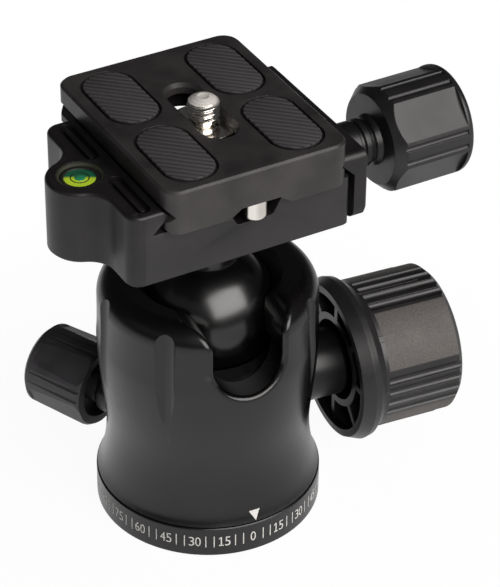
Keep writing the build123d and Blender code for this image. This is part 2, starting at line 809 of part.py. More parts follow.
# ================================================================ clamp
with BuildPart() as clamp_body:
    with BuildSketch(Plane.XY.offset(clamp_bottom)):
        with Locations(((clamp_left + clamp_right) / 2, 0)):
            Rectangle(clamp_right - clamp_left, 2 * clamp_half_length)
        with Locations((level_x, 0)):
            Circle(level_radius + level_boss_wall)
        fillet(
            [v for v in vertices() if v.X < 0 and abs(v.Y) < 10],
            radius=level_boss_blend,
        )
        fillet(
            [v for v in vertices() if v.X < clamp_left + 0.5 and abs(v.Y) > 15],
            radius=clamp_corner,
        )
        fillet(
            [v for v in vertices() if v.X > clamp_right - 0.5],
            radius=clamp_right_corner,
        )
    extrude(amount=clamp_top - clamp_bottom)
    fillet(
        clamp_body.faces().sort_by(Axis.Z)[-1].outer_wire().edges(),
        radius=clamp_edge,
    )
    chamfer(
        clamp_body.faces().sort_by(Axis.Z)[0].outer_wire().edges(),
        length=clamp_foot_edge,
    )
    # plate channel: undercut on the left, open to the jaw on the right
    with BuildSketch(Plane.XZ):
        with BuildLine():
            Polyline(
                (clamp_right + cut_margin, clamp_floor),
                (-lip_foot, clamp_floor),
                (-lip_reach, lip_foot + clamp_floor - lip_reach),
                (-lip_reach, clamp_top - lip_bevel),
                (-lip_reach - lip_bevel, clamp_top),
                (-lip_reach - lip_bevel, clamp_top + cut_margin),
                (clamp_right + cut_margin, clamp_top + cut_margin),
                close=True,
            )
        make_face()
    extrude(amount=clamp_half_length + cut_margin, both=True, mode=Mode.SUBTRACT)
    # relief for the stop pins at both ends of the floor
    recess_reach = clamp_half_length + cut_margin
    for recess_plane in (
        Plane.XZ.offset(clamp_half_length - stop_recess_length),
        Plane.XZ.offset(-recess_reach),
    ):
        with BuildSketch(recess_plane):
            with BuildLine():
                spread = stop_recess_depth / tan(radians(stop_recess_angle))
                Polyline(
                    (-stop_recess_width / 2 - spread, clamp_floor + 0.01),
                    (-stop_recess_width / 2, clamp_floor - stop_recess_depth),
                    (stop_recess_width / 2, clamp_floor - stop_recess_depth),
                    (stop_recess_width / 2 + spread, clamp_floor + 0.01),
                    close=True,
                )
            make_face()
            fillet(vertices().group_by(Axis.Y)[0], radius=stop_recess_round)
        extrude(amount=stop_recess_length + cut_margin, mode=Mode.SUBTRACT)
    # level pocket and the two long recesses with a rib inside
    with BuildSketch(Plane.XY.offset(clamp_top)):
        with Locations((level_x, 0)):
            Circle(level_radius)
    extrude(amount=-level_depth, mode=Mode.SUBTRACT)
    with BuildSketch(Plane.XY.offset(clamp_top)):
        with Locations(
            (finger_recess_x, finger_recess_y), (finger_recess_x, -finger_recess_y)
        ):
            SlotOverall(finger_recess_length, finger_recess_width, rotation=90)
    extrude(amount=-finger_recess_depth, mode=Mode.SUBTRACT)
    with BuildSketch(Plane.XY.offset(clamp_top - finger_recess_depth)):
        with Locations(
            (finger_recess_x, finger_recess_y), (finger_recess_x, -finger_recess_y)
        ):
            SlotOverall(finger_recess_length - 2.0, finger_rib_width, rotation=90)
    extrude(amount=finger_recess_depth - finger_rib_drop)
    # stem screw, seen through the floor
    with Locations((0, 0, clamp_floor)):
        CounterBoreHole(
            radius=stem_screw_radius,
            counter_bore_radius=stem_screw_head + sliding,
            counter_bore_depth=stem_screw_head_height + 0.2,
            depth=clamp_floor - clamp_bottom,
        )
    # clamp screw, guide pins and their spring pockets
    with BuildSketch(clamp_face.offset(clamp_screw_hole_start)):
        Circle(clamp_screw_radius + running)
    extrude(amount=clamp_right, mode=Mode.SUBTRACT)
    with BuildSketch(clamp_face.offset(clamp_right - guide_length)):
        with Locations((guide_y, 0), (-guide_y, 0)):
            Circle(guide_radius + running)
    extrude(amount=guide_length, mode=Mode.SUBTRACT)

with BuildPart() as stem_screw:
    with BuildSketch(Plane.XZ):
        with BuildLine():
            Polyline(
                (0, stem_top - stem_screw_depth),
                (stem_screw_radius, stem_top - stem_screw_depth),
                (stem_screw_radius, clamp_floor - stem_screw_head_height - 0.2),
                (stem_screw_head, clamp_floor - stem_screw_head_height - 0.2),
                (stem_screw_head, clamp_floor - 0.6),
                (stem_screw_head - 0.4, clamp_floor - 0.2),
                (0, clamp_floor - 0.2),
                close=True,
            )
        make_face()
    revolve(axis=Axis.Z)
    with BuildSketch(Plane.XY.offset(clamp_floor - 0.2)):
        RegularPolygon(stem_screw_key, 6)
    extrude(amount=-1.6, mode=Mode.SUBTRACT)

with BuildPart() as level_ring:
    with BuildSketch(Plane.XY.offset(clamp_top - level_depth)):
        with Locations((level_x, 0)):
            Circle(level_radius)
    extrude(amount=level_depth - level_sink)
    with BuildSketch(Plane.XY.offset(clamp_top - level_sink)):
        with Locations((level_x, 0)):
            Circle(level_radius - level_ring_wall)
    extrude(amount=-level_depth + level_sink + 1.0, mode=Mode.SUBTRACT)
    chamfer(
        level_ring.edges()
        .filter_by(GeomType.CIRCLE)
        .group_by(Axis.Z)[-1]
        .sort_by(SortBy.RADIUS)[0],
        length=0.35,
    )

with BuildPart() as level_vial:
    with BuildSketch(Plane.XY.offset(clamp_top - level_depth + 1.0)):
        with Locations((level_x, 0)):
            Circle(level_radius - level_ring_wall)
    extrude(amount=level_depth - 1.0 - level_sink - 0.35)
    fillet(level_vial.faces().sort_by(Axis.Z)[-1].edges(), radius=0.5)

# ================================================================ jaw
with BuildPart() as jaw:
    with BuildSketch(Plane.XZ):
        with BuildLine():
            Polyline(
                (jaw_inner, jaw_bottom),
                (jaw_outer, jaw_bottom),
                (jaw_outer, clamp_top),
                (lip_reach + lip_bevel, clamp_top),
                (lip_reach, clamp_top - lip_bevel),
                (lip_reach, lip_foot + clamp_floor - lip_reach),
                (jaw_inner, lip_foot + clamp_floor - jaw_inner),
                close=True,
            )
        make_face()
    extrude(amount=clamp_half_length, both=True)
    with BuildSketch(Plane.YZ):
        with BuildLine():
            Polyline(
                (-clamp_half_length, jaw_bottom),
                (-clamp_half_length, clamp_top),
                (clamp_half_length, clamp_top),
                (clamp_half_length, jaw_bottom),
                close=True,
            )
        make_face()
        fillet(vertices().group_by(Axis.Y)[0], radius=jaw_bottom_round)
        fillet(vertices().group_by(Axis.Y)[-1], radius=jaw_corner)
    extrude(amount=jaw_outer + cut_margin, mode=Mode.INTERSECT)
    chamfer(
        jaw.faces().sort_by(Axis.X)[-1].outer_wire().edges(),
        length=jaw_edge,
    )
    with BuildSketch(clamp_face.offset(jaw_inner - cut_margin)):
        Circle(clamp_screw_radius + running)
        with Locations((guide_y, 0), (-guide_y, 0)):
            Circle(guide_radius)
    extrude(amount=jaw_thickness + 2 * cut_margin, mode=Mode.SUBTRACT)

with BuildPart() as guide_pins:
    with BuildSketch(clamp_face.offset(clamp_right - guide_length + 1.0)):
        with Locations((guide_y, 0), (-guide_y, 0)):
            Circle(guide_radius)
    extrude(amount=guide_length - 1.0 + jaw_gap + jaw_thickness - 0.2)

# ================================================================ clamp knob
with BuildPart() as clamp_screw:
    with BuildSketch(clamp_face.offset(clamp_screw_start)):
        Circle(clamp_screw_radius)
    extrude(amount=clamp_screw_end - clamp_screw_start)
    chamfer(
        clamp_screw.faces().sort_by(Axis.X)[0].edges(),
        length=0.6,
    )

with BuildPart() as clamp_collar:
    with BuildSketch(clamp_side):
        with BuildLine():
            start = jaw_outer + seat_gap
            stop = clamp_knob_rear
            Polyline(
                (start, clamp_screw_radius),
                (start, neck_outer),
                (start + 1.6, neck_outer),
                (start + 2.2, neck_inner),
                (stop - 4.4, neck_inner),
                (stop - 4.1, neck_inner - neck_groove),
                (stop - 3.6, neck_inner - neck_groove),
                (stop - 3.3, neck_inner),
                (stop - 2.2, neck_inner),
                (stop - 1.9, neck_inner - neck_groove),
                (stop - 1.4, neck_inner - neck_groove),
                (stop - 1.1, neck_inner),
                (stop, neck_inner + 0.4),
                (stop, clamp_screw_radius),
                close=True,
            )
        make_face()
    revolve(axis=spin_axis(clamp_side))

with BuildPart() as clamp_knob:
    with BuildSketch(clamp_side):
        with BuildLine():
            Polyline(
                (clamp_knob_rear, 0),
                (clamp_knob_rear, clamp_disc_radius),
                (clamp_knob_rear + clamp_cone_length, clamp_knob_radius),
                (clamp_knob_front, clamp_knob_radius),
                (clamp_knob_front, 0),
                close=True,
            )
        make_face()
    revolve(axis=spin_axis(clamp_side))
    fillet(
        clamp_knob.edges()
        .filter_by(GeomType.CIRCLE)
        .group_by(Axis.X)[-1],
        radius=clamp_front_round,
    )
    # finger facets and the ridge between each pair
    with BuildSketch(clamp_face.offset(clamp_knob_rear)):
        with PolarLocations(
            clamp_knob_radius - clamp_facet_inset + 2.0,
            clamp_facet_count,
            clamp_facet_centre,
        ):
            Rectangle(4.0, 4 * clamp_knob_radius / clamp_facet_count)
        with PolarLocations(
            clamp_knob_radius + 0.15,
            clamp_facet_count,
            clamp_facet_centre + 180 / clamp_facet_count,
        ):
            with Locations((0, 1.55), (0, -1.55)):
                Circle(0.6)
    extrude(
        amount=clamp_knob_front - clamp_knob_rear - clamp_rim - clamp_front_round,
        mode=Mode.SUBTRACT,
    )
    with BuildSketch(clamp_face.offset(clamp_knob_rear)):
        Circle(clamp_screw_radius)
    extrude(amount=clamp_screw_end - clamp_knob_rear, mode=Mode.SUBTRACT)
    with BuildSketch(clamp_face.offset(clamp_knob_front)):
        Circle(clamp_cap_radius)
    extrude(amount=-cap_thickness, mode=Mode.SUBTRACT)

with BuildPart() as clamp_knob_cap:
    with BuildSketch(clamp_face.offset(clamp_knob_front - cap_thickness)):
        Circle(clamp_cap_radius - 0.05)
    extrude(amount=cap_thickness - 0.15)
    fillet(
        clamp_knob_cap.faces().sort_by(Axis.X)[-1].edges(),
        radius=0.4,
    )

# ================================================================ plate
with BuildPart() as plate:
    with BuildSketch(plate_end):
        with BuildLine():
            half = plate_width / 2
            Polyline(
                (0, plate_top),
                (half, plate_top),
                (half, slab_foot),
                (plate_neck_half, neck_level),
                (plate_tail_half, tail_level),
                (plate_tail_half, plate_bottom + plate_tail_corner),
                (plate_tail_half - plate_tail_corner, plate_bottom),
                (0, plate_bottom),
            )
            mirror(about=Plane.YZ)
        make_face()
    extrude(amount=plate_length / 2, both=True)
    with BuildSketch(deck(plate_bottom)):
        RectangleRounded(plate_width, plate_length, plate_corner)
    extrude(amount=plate_thickness, mode=Mode.INTERSECT)
    chamfer(
        plate.faces().sort_by(Axis.Z)[-1].outer_wire().edges(),
        length=plate_bevel,
    )
    # shallow beds of the rubber pads
    with BuildSketch(deck(plate_top)):
        with GridLocations(2 * pad_x, 2 * pad_y, 2, 2):
            RectangleRounded(
                pad_width + 2 * pad_gap, pad_length + 2 * pad_gap, pad_corner + pad_gap
            )
    extrude(amount=-pad_bed, mode=Mode.SUBTRACT)
    # slot of the camera screw, and the pocket its flange runs in
    with BuildSketch(deck(plate_top)):
        SlotOverall(slot_length, slot_width, rotation=90)
    extrude(amount=-plate_thickness, mode=Mode.SUBTRACT)
    slot_rim = [
        edge
        for edge in plate.edges().group_by(Axis.Z)[-1]
        if abs(edge.center().X) < slot_width
        and abs(edge.center().Y - plate_y) < slot_length / 2 + 0.1
    ]
    chamfer(slot_rim, length=slot_chamfer)
    with BuildSketch(deck(plate_bottom)):
        SlotOverall(
            slot_length - slot_width + 2 * (flange_radius + pocket_clearance),
            2 * (flange_radius + pocket_clearance),
            rotation=90,
        )
    extrude(amount=web_bottom - plate_bottom, mode=Mode.SUBTRACT)
    # channel along the underside between the stop pins
    with BuildSketch(plate_end):
        with Locations((0, plate_bottom)):
            Trapezoid(channel_width, channel_depth, channel_angle, align=(Align.CENTER, Align.MIN))
    extrude(amount=plate_length, both=True, mode=Mode.SUBTRACT)
    with BuildSketch(deck(plate_bottom + channel_depth)):
        with Locations((0, stop_pin_y), (0, -stop_pin_y)):
            Circle(stop_pin_radius)
    extrude(amount=stop_pin_seat, mode=Mode.SUBTRACT)

with BuildPart() as front_stop_pin:
    with BuildSketch(deck(plate_bottom + channel_depth + stop_pin_seat)):
        with Locations((0, -stop_pin_y)):
            Circle(stop_pin_radius)
    extrude(amount=-(channel_depth + stop_pin_seat + stop_pin_drop))
    fillet(
        front_stop_pin.faces().sort_by(Axis.Z)[0].edges(),
        radius=stop_pin_round,
    )

with BuildPart() as rear_stop_pin:
    with BuildSketch(deck(plate_bottom + channel_depth + stop_pin_seat)):
        with Locations((0, stop_pin_y)):
            Circle(stop_pin_radius)
    extrude(amount=-(channel_depth + stop_pin_seat + stop_pin_drop))
    fillet(
        rear_stop_pin.faces().sort_by(Axis.Z)[0].edges(),
        radius=stop_pin_round,
    )

# rubber pads, one in each bed
pads = {}
for pad_name, side, end in (
    ("pad_front_left", -1, -1),
    ("pad_front_right", 1, -1),
    ("pad_rear_left", -1, 1),
    ("pad_rear_right", 1, 1),
):
    with BuildPart() as pad:
        with BuildSketch(deck(plate_top - pad_bed)):
            with Locations((side * pad_x, end * pad_y)):
                RectangleRounded(pad_width, pad_length, pad_corner)
        extrude(amount=pad_bed + pad_proud)
        chamfer(pad.faces().sort_by(Axis.Z)[-1].edges(), length=pad_edge)
    pads[pad_name] = pad.part

# ================================================================ camera screw
with BuildPart() as screw_washer:
    with BuildSketch(deck(washer_top - washer_thickness)):
        with Locations((0, stud_y)):
            Circle(washer_radius)
            Circle(stud_radius + running, mode=Mode.SUBTRACT)
    extrude(amount=washer_thickness)

with BuildPart() as camera_screw:
    with BuildSketch(stud_side):
        with BuildLine():
            Polyline(
                (0, head_bottom),
                (head_radius, head_bottom),
                (head_radius, flange_top - flange_thickness),
                (flange_radius, flange_top - flange_thickness),
                (flange_radius, flange_top),
                (stud_neck_radius, flange_top),
                (stud_neck_radius, plate_top + stud_neck_rise),
                (stud_radius, plate_top + stud_neck_rise),
                (stud_radius, plate_top + stud_height - stud_tip_chamfer),
                (stud_radius - stud_tip_chamfer, plate_top + stud_height),
                (stud_tip_dish, plate_top + stud_height),
                (0, plate_top + stud_height - 0.35),
                close=True,
            )
        make_face()
    revolve(axis=Axis(stud_side.origin, (0, 0, 1)))
    with BuildSketch(deck(head_bottom)):
        with Locations((0, stud_y)):
            Rectangle(2 * head_radius + cut_margin, coin_slot_width)
    extrude(amount=coin_slot_depth, mode=Mode.SUBTRACT)

# ================================================================ files
named = {
    "base_ring": base_ring.part,
    "stud_bush": stud_bush.part,
    "pan_washer": pan_washer.part,
    "pan_retainer": pan_retainer.part,
    "retainer_screw": retainer_screw.part,
    "housing": housing.part,
    "floor_plate": floor_plate.part,
    "ball_liner": ball_liner.part,
    "lock_bush": lock_bush.part,
    "lock_wedge": lock_wedge.part,
    "ball_cup": ball_cup.part,
    "lock_spindle": lock_spindle.part,
    "lock_knob": lock_knob.part,
    "lock_knob_cap": lock_knob_cap.part,
    "pan_bush": pan_bush.part,
    "pan_shoe": pan_shoe.part,
    "pan_spindle": pan_spindle.part,
    "pan_knob": pan_knob.part,
    "pan_knob_cap": pan_knob_cap.part,
    "ball": ball.part,
    "clamp_body": clamp_body.part,
    "stem_screw": stem_screw.part,
    "level_ring": level_ring.part,
    "level_vial": level_vial.part,
    "jaw": jaw.part,
    "guide_pins": guide_pins.part,
    "clamp_screw": clamp_screw.part,
    "clamp_collar": clamp_collar.part,
    "clamp_knob": clamp_knob.part,
    "clamp_knob_cap": clamp_knob_cap.part,
    "plate": plate.part,
    "front_stop_pin": front_stop_pin.part,
    "rear_stop_pin": rear_stop_pin.part,
    "screw_washer": screw_washer.part,
    "camera_screw": camera_screw.part,
}
named.update(pads)
for name, solid in named.items():
    solid.label = name
    export_step(solid, f"parts/{name}.step")
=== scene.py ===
"""Looks of the tripod ball head: materials, markings, threads, level, light and camera."""

import json
import math

import bmesh
import bpy
from mathutils import Matrix, Vector
from mathutils.bvhtree import BVHTree


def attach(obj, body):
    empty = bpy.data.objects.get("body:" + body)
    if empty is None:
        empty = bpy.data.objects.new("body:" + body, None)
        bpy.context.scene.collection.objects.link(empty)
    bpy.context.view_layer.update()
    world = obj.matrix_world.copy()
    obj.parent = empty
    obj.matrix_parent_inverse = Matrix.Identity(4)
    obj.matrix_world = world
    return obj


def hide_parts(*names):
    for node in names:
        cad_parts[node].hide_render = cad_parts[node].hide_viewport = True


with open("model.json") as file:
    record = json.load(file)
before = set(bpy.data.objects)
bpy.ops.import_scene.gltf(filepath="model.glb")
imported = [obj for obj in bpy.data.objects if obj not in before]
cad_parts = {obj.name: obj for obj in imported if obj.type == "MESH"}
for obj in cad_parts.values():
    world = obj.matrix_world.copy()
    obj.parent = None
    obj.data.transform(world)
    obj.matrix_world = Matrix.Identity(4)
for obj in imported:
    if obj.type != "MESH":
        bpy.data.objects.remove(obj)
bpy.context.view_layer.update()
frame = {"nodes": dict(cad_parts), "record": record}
nodes = frame["nodes"]

# Lengths are in millimetres unless a comment says metres, and angles in degrees until
# math.radians turns them.
MM = 0.001
SWIVEL = math.radians(-5.6)        # the housing's turn against the clamp
SHARP_EDGE = math.radians(50)      # smooth pieces keep edges that are sharper than this
WHITE = (1, 1, 1)


# ================================================================ node helpers
def new_material(name, colour, rough, metallic=0.0):
    """A principled material with its own object-space coordinates."""
    material = bpy.data.materials.new(name)
    material.use_nodes = True
    tree = material.node_tree
    shader = tree.nodes["Principled BSDF"]
    shader.inputs["Base Color"].default_value = (*colour, 1)
    shader.inputs["Roughness"].default_value = rough
    shader.inputs["Metallic"].default_value = metallic
    coords = tree.nodes.new("ShaderNodeTexCoord")
    return material, tree, shader, coords.outputs["Object"]


def feed(tree, socket, value):
    """Sets an input to a constant, or links another node's output to it."""
    if isinstance(value, tuple):
        socket.default_value = (*value, 1) if socket.type == "RGBA" else value
    elif isinstance(value, (int, float)):
        socket.default_value = value
    else:
        tree.links.new(value, socket)


def wire(tree, shader, colour=None, rough=None, normal=None):
    """Links patterns to the shader's colour, roughness and normal."""
    for socket, output in (("Base Color", colour), ("Roughness", rough), ("Normal", normal)):
        if output is not None:
            tree.links.new(output, shader.inputs[socket])


def maths(tree, operation, *values, kind="ShaderNodeMath", result=0):
    """One step of arithmetic on numbers and other nodes' outputs."""
    node = tree.nodes.new(kind)
    node.operation = operation
    for socket, value in zip(node.inputs, values):
        feed(tree, socket, value)
    return node.outputs[result]


def vector_maths(tree, operation, *values, result="Vector"):
    """The same on vectors; a length or a dot product has its result in Value."""
    return maths(tree, operation, *values, kind="ShaderNodeVectorMath", result=result)


def axes(tree, where):
    """The x, y and z of a place, in metres."""
    node = tree.nodes.new("ShaderNodeSeparateXYZ")
    tree.links.new(where, node.inputs[0])
    return node.outputs


def noise(tree, where, scale, detail=4.0, rough=0.55):
    """A cloudy pattern from 0 to 1; the scale counts its clouds per metre."""
    node = tree.nodes.new("ShaderNodeTexNoise")
    node.inputs["Scale"].default_value = scale
    node.inputs["Detail"].default_value = detail
    node.inputs["Roughness"].default_value = rough
    tree.links.new(where, node.inputs["Vector"])
    return node.outputs["Fac"]


def spread(tree, value, low, high, start=0.35, stop=0.65):
    """Maps start..stop of a value onto low..high and holds it there on both sides."""
    node = tree.nodes.new("ShaderNodeMapRange")
    node.inputs["From Min"].default_value = start
    node.inputs["From Max"].default_value = stop
    node.inputs["To Min"].default_value = low
    node.inputs["To Max"].default_value = high
    tree.links.new(value, node.inputs["Value"])
    return node.outputs["Result"]


def spread_mm(tree, value, low, high, start, stop):
    """Maps a length between two stations in mm onto low..high."""
    return spread(tree, value, low, high, start * MM, stop * MM)


MIX_SOCKETS = {"FLOAT": (2, 3, 0), "VECTOR": (4, 5, 1), "RGBA": (6, 7, 2)}   # low, high, result


def mix(tree, factor, low, high, kind="RGBA"):
    """Mixes two colours, numbers or vectors by a pattern."""
    node = tree.nodes.new("ShaderNodeMix")
    node.data_type = kind
    low_socket, high_socket, result = MIX_SOCKETS[kind]
    feed(tree, node.inputs[0], factor)
    feed(tree, node.inputs[low_socket], low)
    feed(tree, node.inputs[high_socket], high)
    return node.outputs[result]


def shaded(colour, share):
    """A colour made darker or lighter."""
    return tuple(c * share for c in colour)


def clouded(tree, pattern, colour, dark, light, start=0.35, stop=0.65):
    """A colour that a pattern makes darker and lighter."""
    factor = spread(tree, pattern, 0, 1, start, stop)
    return mix(tree, factor, shaded(colour, dark), shaded(colour, light))


def bump(tree, height, strength, depth, normal=None):
    """Normals of a rough skin; its depth is in mm."""
    node = tree.nodes.new("ShaderNodeBump")
    node.inputs["Strength"].default_value = strength
    node.inputs["Distance"].default_value = depth * MM
    tree.links.new(height, node.inputs["Height"])
    if normal is not None:
        tree.links.new(normal, node.inputs["Normal"])
    return node.outputs["Normal"]


def soft_edges(tree, radius):
    """Normals that round every hard edge by a small radius."""
    node = tree.nodes.new("ShaderNodeBevel")
    node.samples = 4
    node.inputs["Radius"].default_value = radius * MM
    return node.outputs["Normal"]


def worn(tree):
    """0 on faces, 1 on sharp outer edges."""
    node = tree.nodes.new("ShaderNodeNewGeometry")
    return spread(tree, node.outputs["Pointiness"], 0, 1, start=0.53, stop=0.62)


# ================================================================ materials
WORN_METAL = (0.11, 0.11, 0.115)
BORE_ROUGH = 0.9
WALL_FADE, FLOOR_FADE, CEILING_FADE = 0.3, 0.5, 4       # how softly a bore's dullness ends


def bore_dullness(tree, where, radius, floor, ceiling):
    """Roughness inside a bore on the upright axis, between two heights, and 0 elsewhere."""
    level = vector_maths(tree, "MULTIPLY", where, (1, 1, 0))
    reach = vector_maths(tree, "LENGTH", level, result="Value")
    height = axes(tree, where)["Z"]
    within = spread_mm(tree, reach, BORE_ROUGH, 0, radius, radius + WALL_FADE)
    above = spread_mm(tree, height, 0, 1, floor, floor + FLOOR_FADE)
    below = spread_mm(tree, height, 1, 0, ceiling, ceiling + CEILING_FADE)
    return maths(tree, "MULTIPLY", maths(tree, "MULTIPLY", within, above), below)


def anodised(name, colour, rough, ior, edge=0.12, rounding=0.18, bore=None):
    """Black anodised metal: hardly any colour of its own, a strong satin sheen.

    edge is how pale its worn edges are, rounding the radius that softens hard edges, and bore
    the radius, floor and ceiling of a dull inside.
    """
    material, tree, shader, where = new_material(name, colour, rough)
    shader.inputs["IOR"].default_value = ior
    mottled = clouded(tree, noise(tree, where, scale=90, detail=3), colour, dark=0.7, light=1.5)
    smudges = noise(tree, where, scale=34, detail=5)
    finish = spread(tree, smudges, rough - 0.05, rough + 0.06)
    if bore:
        finish = maths(tree, "MAXIMUM", finish, bore_dullness(tree, where, *bore))
    grain = noise(tree, where, scale=5200, detail=2)
    rounded = soft_edges(tree, rounding) if rounding else None
    wire(
        tree,
        shader,
        colour=mix(tree, maths(tree, "MULTIPLY", worn(tree), edge), mottled, WORN_METAL),
        rough=finish,
        normal=bump(tree, grain, strength=0.35, depth=0.012, normal=rounded),
    )
    return material


PANEL_FADE, PANEL_FADE_ANGLE = 0.1, 0.5            # how softly a knob's panels end


def turned_mask(tree, where, axis_height, centre, count, half, start, stop, inner):
    """1 on the panels of a knob on the lock axis.

    They are windows of half an angle on both sides of their centre, between two stations of
    the axis and outside an inner radius.
    """
    x, y, z = axes(tree, where)
    cos, sin = math.cos(SWIVEL), math.sin(SWIVEL)
    station = maths(tree, "MULTIPLY_ADD", x, cos, maths(tree, "MULTIPLY", y, sin))
    aside = maths(tree, "MULTIPLY_ADD", y, cos, maths(tree, "MULTIPLY", x, -sin))
    rise = maths(tree, "SUBTRACT", z, axis_height * MM)
    turn = maths(tree, "ARCTAN2", rise, aside)
    step = 2 * math.pi / count
    part = maths(tree, "SUBTRACT", turn, math.radians(centre) - step / 2)
    folded = maths(tree, "FLOORED_MODULO", part, step)
    off = maths(tree, "ABSOLUTE", maths(tree, "SUBTRACT", folded, step / 2))
    half_turn, fade_turn = math.radians(half), math.radians(PANEL_FADE_ANGLE)
    window = spread(tree, off, 1, 0, half_turn - fade_turn, half_turn + fade_turn)
    rear = spread_mm(tree, station, 0, 1, start - PANEL_FADE, start + PANEL_FADE)
    front = spread_mm(tree, station, 1, 0, stop - PANEL_FADE, stop + PANEL_FADE)
    aside_squared = maths(tree, "MULTIPLY", aside, aside)
    reach_squared = maths(tree, "ADD", aside_squared, maths(tree, "MULTIPLY", rise, rise))
    inner_squared = (inner * MM) ** 2
    outer_squared = ((inner + PANEL_FADE) * MM) ** 2
    outside = spread(tree, reach_squared, 0, 1, inner_squared, outer_squared)
    along = maths(tree, "MULTIPLY", window, rear)
    return maths(tree, "MULTIPLY", along, maths(tree, "MULTIPLY", front, outside))


def grained_plastic(name, colour):
    """Moulded black plastic: smooth and half glossy, with stippled panels on the big knob."""
    material, tree, shader, where = new_material(name, colour, 0.3)
    shader.inputs["IOR"].default_value = 1.5
    panel = turned_mask(
        tree,
        where,
        axis_height=24.2,
        centre=137.4,
        count=4,
        half=23.2,
        start=33.9,
        stop=49.6,
        inner=15.2,
    )
    cloud = noise(tree, where, scale=140, detail=4)
    smooth_colour = clouded(tree, cloud, colour, dark=0.8, light=1.2)
    smooth_finish = spread(tree, cloud, 0.34, 0.42)
    stipple = noise(tree, where, scale=3300, detail=2, rough=0.5)
    panel_dark, panel_light = (0.058, 0.052, 0.049), (0.088, 0.079, 0.074)
    panel_colour = mix(tree, spread(tree, stipple, 0, 1), panel_dark, panel_light)
    panel_finish = spread(tree, cloud, 0.58, 0.66)
    flat = tree.nodes.new("ShaderNodeNewGeometry").outputs["Normal"]
    rounded = mix(tree, panel, soft_edges(tree, 0.2), flat, kind="VECTOR")
    grain = noise(tree, where, scale=3600, detail=3, rough=0.6)
    smooth_skin = bump(tree, grain, strength=0.35, depth=0.012, normal=rounded)
    raised = maths(tree, "MULTIPLY", stipple, panel)
    wire(
        tree,
        shader,
        colour=mix(tree, panel, smooth_colour, panel_colour),
        rough=mix(tree, panel, smooth_finish, panel_finish, kind="FLOAT"),
        normal=bump(tree, raised, strength=0.7, depth=0.07, normal=smooth_skin),
    )
    return material


def cloudy_look(
    name, colour, rough, cloud, finish, shades=None, grain=None, rounding=None, metallic=0.0, **sockets
):
    """A skin whose gloss and colour vary in soft clouds.

    cloud is the scale and detail of the clouds, finish the range of the roughness, shades the
    range of the colour, and grain the scale, detail, strength and depth of a fine bump. Other
    sockets of the shader are named with _ for a space.
    """
    material, tree, shader, where = new_material(name, colour, rough, metallic)
    for socket, value in sockets.items():
        shader.inputs[socket.replace("_", " ")].default_value = value
    pattern = noise(tree, where, *cloud)
    wire(tree, shader, rough=spread(tree, pattern, *finish))
    if shades:
        wire(tree, shader, colour=clouded(tree, pattern, colour, *shades))
    if grain:
        scale, detail, strength, depth = grain
        rounded = soft_edges(tree, rounding) if rounding else None
        fine = noise(tree, where, scale, detail)
        wire(tree, shader, normal=bump(tree, fine, strength, depth, rounded))
    return material


def bright_metal(name, colour, rough):
    """Bare metal with faint clouds of tarnish."""
    return cloudy_look(
        name,
        colour,
        rough,
        cloud=(260, 5),
        finish=(rough - 0.03, rough + 0.06),
        shades=(0.93, 1.0),
        grain=(2400, 3, 0.15, 0.01),
        rounding=0.12,
        metallic=1.0,
    )


def polished(name, colour):
    """The ball's smooth black finish."""
    return cloudy_look(
        name, colour, 0.24, cloud=(60, 5), finish=(0.21, 0.27), grain=(900, 2, 0.05, 0.004), IOR=1.6
    )


def rubber(name, colour, gloss=0.5):
    """A dull moulded skin, as of rubber or of the level's case."""
    return cloudy_look(
        name,
        colour,
        0.75,
        cloud=(420, 4),
        finish=(0.66, 0.84),
        shades=(0.8, 1.2),
        grain=(5000, 2, 0.5, 0.02),
        Specular_IOR_Level=gloss,
    )


def matt_plastic(name, colour):
    """Plain moulded plastic without gloss."""
    return cloudy_look(
        name,
        colour,
        0.5,
        cloud=(160, 4),
        finish=(0.44, 0.54),
        shades=(0.8, 1.2),
        grain=(3300, 3, 0.5, 0.02),
        rounding=0.2,
    )


def printed(name, colour):
    """Ink of the printed marks."""
    return cloudy_look(
        name, colour, 0.55, cloud=(2200, 3), finish=(0.45, 0.65), shades=(0.8, 1.0, 0.25, 0.55)
    )


def ribbed_rubber(name, colour, groove, crest):
    """Rubber with painted shade in its grooves and a painted highlight on its crests, between two
    heights.
    """
    material, tree, shader, where = new_material(name, colour, 0.75)
    # painted shade: the colour darkens towards the grooves; painted highlight: it lightens towards the
    # crests
    height = spread_mm(tree, axes(tree, where)["Z"], 0, 1, groove, crest)
    wire(
        tree,
        shader,
        colour=mix(tree, height, shaded(colour, 0.25), shaded(colour, 1.9)),
        rough=spread(tree, noise(tree, where, scale=420, detail=4), 0.62, 0.8),
        normal=bump(tree, noise(tree, where, scale=5000, detail=2), strength=0.5, depth=0.02),
    )
    return material


def turned_steel(name, axis_y, dull_from, dull_to):
    """Bright steel whose end face is dull, with fine turning rings."""
    material, tree, shader, where = new_material(name, (0.88, 0.85, 0.80), 0.16, 1.0)
    end = spread_mm(tree, axes(tree, where)["Z"], 0, 1, dull_from, dull_to)
    tree.links.new(spread(tree, end, 1.0, 0.42, start=0, stop=1), shader.inputs["Metallic"])
    finish = spread(tree, noise(tree, where, scale=420, detail=4), 0.12, 0.2)
    rings = tree.nodes.new("ShaderNodeTexWave")
    rings.wave_type = "RINGS"
    rings.rings_direction = "Z"
    rings.inputs["Scale"].default_value = 520
    rings.inputs["Distortion"].default_value = 0.4
    from_axis = vector_maths(tree, "SUBTRACT", where, (0, axis_y * MM, 0))
    tree.links.new(from_axis, rings.inputs["Vector"])
    ring = rings.outputs["Fac"]
    wire(
        tree,
        shader,
        colour=mix(tree, ring, (0.84, 0.80, 0.75), (0.97, 0.94, 0.89)),
        rough=maths(tree, "MULTIPLY_ADD", end, 0.1, finish),
        normal=bump(tree, ring, strength=0.3, depth=0.02, normal=soft_edges(tree, 0.12)),
    )
    return material


